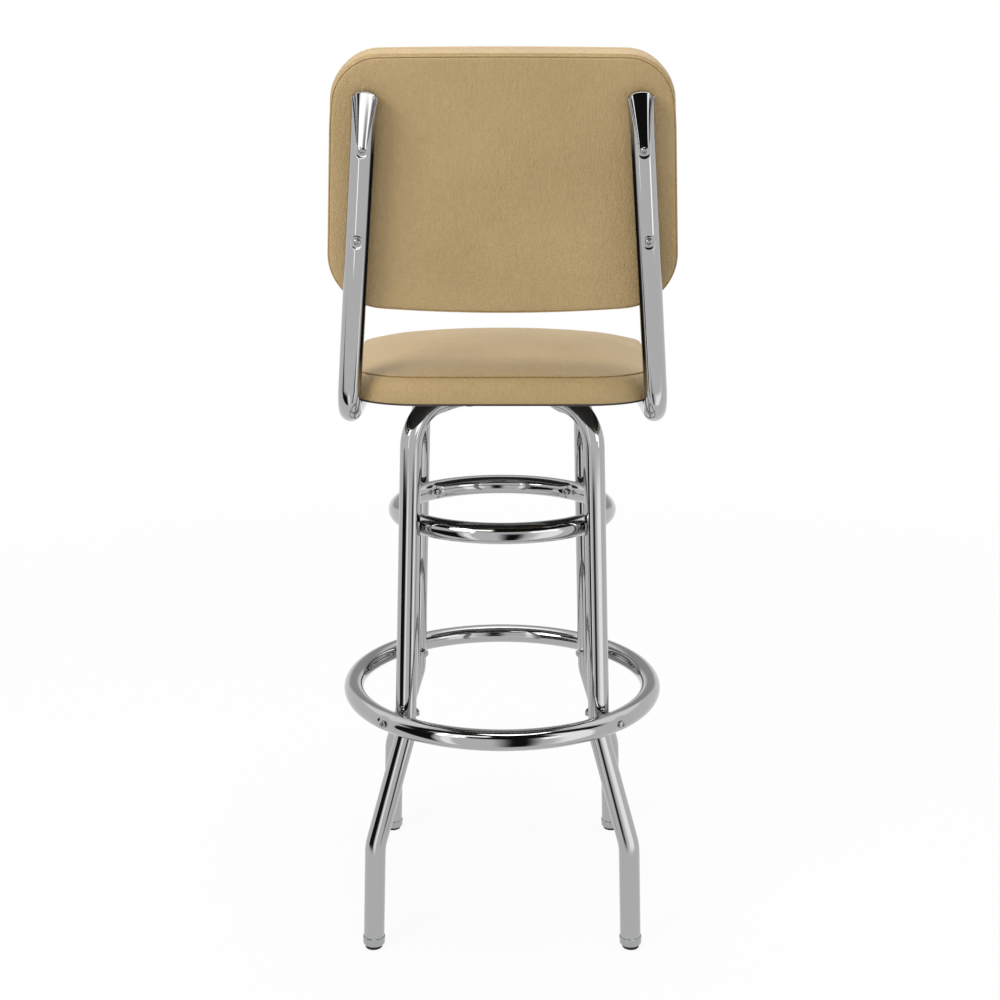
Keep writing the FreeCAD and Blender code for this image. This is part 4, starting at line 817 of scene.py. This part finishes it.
def backCushion():
    # front of the back: a pad on the board that swells out of the border's seam
    rows = np.array([(12.0, 15.3), (4.5, 15.6), (3.4, 17.0), (3.4, 20.0), (5.4, 21.6), (7.2, 23.4),
                     (7.0, 25.4), (5.6, 26.6), (4.0, 27.0), (2.6, 27.3), (1.5, 28.1), (0.6, 29.4),
                     (0.3, 31.0)])
    dome = {"middle": (0, back["middle"]), "crown": 49.4, "drop": 7.0, "reach": 189.5}
    roll = {"wide": 18.0, "power": 2.2, "count": 18, "gather": 0.45, "waveMm": 26.0}
    sewn = {"full": 28, "free": 36, "capMm": 2.5}
    piece = meshPiece("backCushion", [onBack(paddedForm(backOutline(), rows, dome, roll))], "seat",
                      ["back_foam"], "tan_vinyl")

    def held(points):
        forward = (points - backOrigin * mm) @ backFront / mm
        return 1 - smoothStep(forward, sewn["full"], sewn["free"])

    inflate(piece, held, sewn["capMm"])


def backBorder():
    # border round the back: hem under the rear panel, a small roll out of its seam, a straight
    # side, and a lip that dives into the front seam
    loop = np.array([
        (24.0, 2.2), (8.0, 2.15), (3.6, 2.1), (2.8, 2.0), (2.5, 1.5), (1.9, 1.3), (1.1, 1.8), (0.4, 3.2),
        (-0.1, 6.0), (-0.6, 10.0), (-0.8, 15.0), (-0.5, 20.0), (0.2, 23.6), (1.3, 25.6), (2.6, 26.2),
        (4.0, 25.6), (5.4, 23.6), (4.6, 22.8), (3.6, 24.0), (2.7, 24.4), (2.0, 23.4), (1.4, 20.0),
        (1.1, 15.0), (1.1, 9.0), (1.2, 5.0), (1.7, 3.3), (3.4, 2.9), (8.0, 2.9), (24.0, 2.9)])
    grid = onBack(seamStrip(backOutline(), loop, (1.9, 3.0)))
    meshPiece("backBorder", [grid], "seat", ["back_cover"], "tan_vinyl")


def rearPanel():
    # thin closed panel in the back's rear face: a flat middle whose edge rolls in to the seam
    rows = np.array([(6.0, 2.0), (3.4, 1.95), (3.0, 1.6), (3.0, 1.15), (3.5, 0.7), (4.6, 0.36), (6.6, 0.14),
                     (10.0, 0.02), (16.0, 0.0)])
    side = ringRows(backOutline(), rows * mm, (3, 4))
    middle = np.array([0, back["middle"]]) * mm
    grid = onBack(np.concatenate([capRows(side[0], middle, 20)[::-1], side, capRows(side[-1], middle, 30)]))
    meshPiece("rearPanel", [grid], "seat", ["back_rear_panel"], "tan_vinyl")


seatCushion()
seatBand()
print("stage: seat")
backCushion()
backBorder()
rearPanel()
print("stage: back")


# CAD nodes that keep their shape get the finish of their slot

nodeSlots = {
    "zinc_steel": ["swivel_lower_plate", "swivel_upper_plate", "swivel_rivet", "plate_sleeves",
                   "post_tee_nuts", "back_tee_nuts", "frame_bolts", "frame_nuts", "seat_plate_screws",
                   "ball_cage"],
    "ball_steel": ["swivel_balls"],
    "black_plastic": ["post_plugs"],
    "chrome_fastener": ["foot_ring_nuts", "post_bolts"],
    "plywood": ["seat_board", "back_board"],
}
for slotName, names in nodeSlots.items():
    for nodeName in names:
        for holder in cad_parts[nodeName].material_slots:
            holder.material = finishes[slotName]
print("stage: node finishes")


# Studio, in metres

def pastTheStool(tree):
    # 1 for a ray from the camera, off a mirror or through clear material, 0 for the others
    rays = addNode(tree, "LightPath").outputs
    seen = addNode(tree, "Math", {0: rays["Is Camera Ray"], 1: rays["Is Glossy Ray"]}, operation="ADD")
    return addNode(tree, "Math", {0: seen.outputs[0], 1: rays["Is Transmission Ray"]}, operation="ADD",
                   use_clamp=True).outputs[0]


def stageFloor():
    # pale floor: white to the camera and in reflections, with the object's shadow kept near it
    look = {"colour": "#efefee", "near": 0.5, "far": 3.5, "whiteNear": 0.92, "half": 14.0}
    material, tree = newMaterial("paleFloor")
    place = addNode(tree, "TexCoord").outputs["Object"]
    away = addNode(tree, "VectorMath", {0: place}, operation="LENGTH")
    spread = addNode(tree, "MapRange", {"Value": away.outputs["Value"], "From Min": look["near"],
                                        "From Max": look["far"], "To Min": look["whiteNear"], "To Max": 1.0},
                     interpolation_type="SMOOTHSTEP")
    share = addNode(tree, "Math", {0: pastTheStool(tree), 1: spread.outputs["Result"]}, operation="MULTIPLY")
    diffuse = addNode(tree, "BsdfDiffuse", {"Color": linear(look["colour"])})
    glow = addNode(tree, "Emission", {"Color": (1, 1, 1, 1), "Strength": 1.0})
    mix = addNode(tree, "MixShader", {0: share.outputs[0], 1: diffuse.outputs[0], 2: glow.outputs[0]})
    addNode(tree, "OutputMaterial", {"Surface": mix.outputs[0]})
    mesh = bpy.data.meshes.new("stageFloor")
    half = look["half"]
    mesh.from_pydata([(-half, -half, 0), (half, -half, 0), (half, half, 0), (-half, half, 0)], [],
                     [(0, 1, 2, 3)])
    mesh.materials.append(material)
    addObject("stageFloor", mesh)


def glowMaterial(name, strength):
    # even glow that fades out towards the card's edges
    material, tree = newMaterial(name)
    glow = addNode(tree, "Emission", {"Color": (1, 1, 1, 1), "Strength": strength})
    clear = addNode(tree, "BsdfTransparent")
    fade = addNode(tree, "Attribute", attribute_name="fade")
    mix = addNode(tree, "MixShader", {0: fade.outputs["Fac"], 1: clear.outputs[0], 2: glow.outputs[0]})
    addNode(tree, "OutputMaterial", {"Surface": mix.outputs[0]})
    return material


def card(name, grid, soft, material):
    # a card that shows only in reflections; soft is the share of each side that fades out
    rows, columns = grid.shape[:2]
    u, v = np.linspace(0, 1, rows)[:, None], np.linspace(0, 1, columns)[None]
    fade = smoothStep(np.minimum(u, 1 - u), 0, soft[0]) * smoothStep(np.minimum(v, 1 - v), 0, soft[1])
    mesh = bpy.data.meshes.new(name)
    mesh.from_pydata(grid.reshape(-1, 3).tolist(), [], gridFaces(rows, columns, False).tolist())
    mesh.attributes.new("fade", "FLOAT", "POINT").data.foreach_set("value", fade.ravel())
    mesh.materials.append(material)
    piece = addObject(name, mesh)
    piece.visible_camera = piece.visible_diffuse = piece.visible_shadow = False
    piece.visible_transmission = piece.visible_volume_scatter = False


def stageCards():
    # dark flags and bright cards that only the chrome sees
    glow = {"dark": 0.012, "dim": 0.5, "soft": 1.4, "pale": 1.8, "bright": 2.6}
    kinds = {key: glowMaterial("card" + key.capitalize(), glow[key]) for key in glow}
    # patches of a dome about a point on the axis: turn from the camera's side (left positive)
    # from and to, height angle from and to, radius, soft shares
    domeLevel = 0.5
    dome = [("dark", -84, 84, 24, 88, 3.6, (0.03, 0.04)), ("soft", 86, 150, 26, 64, 3.4, (0.15, 0.15)),
            ("soft", -150, -86, 26, 64, 3.4, (0.15, 0.15)), ("bright", -60, -25, 8, 24, 3.3, (0.15, 0.15)),
            ("dim", 140, 220, 4, 42, 3.6, (0.15, 0.3)), ("bright", 130, 230, 60, 82, 3.5, (0.1, 0.1))]
    for i, (kind, turn0, turn1, rise0, rise1, radius, soft) in enumerate(dome):
        turn, rise = np.meshgrid(np.radians(np.linspace(turn0, turn1, 33)),
                                 np.radians(np.linspace(rise0, rise1, 21)), indexing="ij")
        grid = np.stack([radius * np.cos(rise) * np.sin(turn), radius * np.cos(rise) * np.cos(turn),
                         domeLevel + radius * np.sin(rise)], -1)
        card("dome%02d" % i, grid, soft, kinds[kind])
    # upright flats on the camera's side: x from and to, z from and to, y, soft shares
    flats = [("pale", 0.145, 0.211, 0.05, 0.59, 0.33, (0.3, 0.15)),
             ("dark", 0.222, 1.0, 0.05, 0.59, 0.33, (0.04, 0.15)),
             ("dark", -0.13, 0.035, 0.05, 0.59, 0.33, (0.4, 0.15)),
             ("pale", -0.5, -0.135, 0.05, 0.59, 0.33, (0.25, 0.15)),
             ("bright", 0.27, 0.33, 0.56, 0.9, 0.6, (0.2, 0.1)),
             ("bright", -0.8, -0.55, 0.56, 0.9, 0.6, (0.2, 0.1)),
             ("bright", 0.1, 0.5, 0.93, 1.3, 0.75, (0.15, 0.1)),
             ("dark", -0.6, 0.1, 0.92, 1.5, 0.75, (0.1, 0.05))]
    for i, (kind, x0, x1, z0, z1, y, soft) in enumerate(flats):
        x, z = np.meshgrid(np.linspace(x0, x1, 25), np.linspace(z0, z1, 25), indexing="ij")
        card("flat%02d" % i, np.stack([x, y + 0 * x, z], -1), soft, kinds[kind])
    # a narrow flag along the inner side of each post, in millimetres
    flag = {"low": 700, "high": 985, "half": 12, "off": 9.0}
    for side in (1, -1):
        low, high = postPoint(side, flag["low"]), postPoint(side, flag["high"])
        share, apart = np.meshgrid(np.linspace(0, 1, 9), np.linspace(-flag["half"], flag["half"], 5),
                                   indexing="ij")
        grid = (low + (high - low) * share[..., None] + apart[..., None] * rearward
                - np.array([side * (tube + flag["off"]), 0, 0])) * mm
        card("postFlag%d" % (side + 1), grid, (0.05, 0.2), kinds["dark"])


def areaLamp(name, place, target, size, power):
    # a round soft lamp at a place, aimed at a target
    light = bpy.data.lights.new(name, "AREA")
    light.shape, light.size, light.energy = "DISK", size, power
    lamp = addObject(name, light)
    lamp.location = place
    lamp.rotation_euler = (Vector(target) - Vector(place)).to_track_quat("-Z", "Y").to_euler()


def studioWorld():
    # soft even light; white where the camera or a reflection looks past the object
    look = {"light": 0.62, "white": 1.0}
    world = bpy.data.worlds.new("studio")
    bpy.context.scene.world = world
    world.use_nodes = True
    tree = world.node_tree
    tree.nodes.clear()
    soft = addNode(tree, "Background", {"Color": (1, 1, 1, 1), "Strength": look["light"]})
    white = addNode(tree, "Background", {"Color": (1, 1, 1, 1), "Strength": look["white"]})
    mix = addNode(tree, "MixShader", {0: pastTheStool(tree), 1: soft.outputs[0], 2: white.outputs[0]})
    addNode(tree, "OutputWorld", {"Surface": mix.outputs[0]})


stageFloor()
stageCards()
studioWorld()
areaLamp("keyLamp", (1.9, 2.1, 2.3), (0, 0, 0.75), 1.5, 42)
areaLamp("topLamp", (-0.2, 0.3, 3.0), (0, 0, 0.7), 1.5, 29)

photoView = {"lens": 50.0, "sensor": 36.0, "place": (0.0028, 1.7068, 0.94065), "down": 13.495}
camera = bpy.data.cameras.new("photoCamera")
camera.lens, camera.sensor_width = photoView["lens"], photoView["sensor"]
viewer = addObject("photoCamera", camera)
viewer.location = photoView["place"]
viewer.rotation_euler = (math.radians(90 - photoView["down"]), 0, math.pi)
bpy.context.scene.camera = viewer
bpy.context.scene.view_settings.view_transform = "Standard"
print("stage: studio and camera")
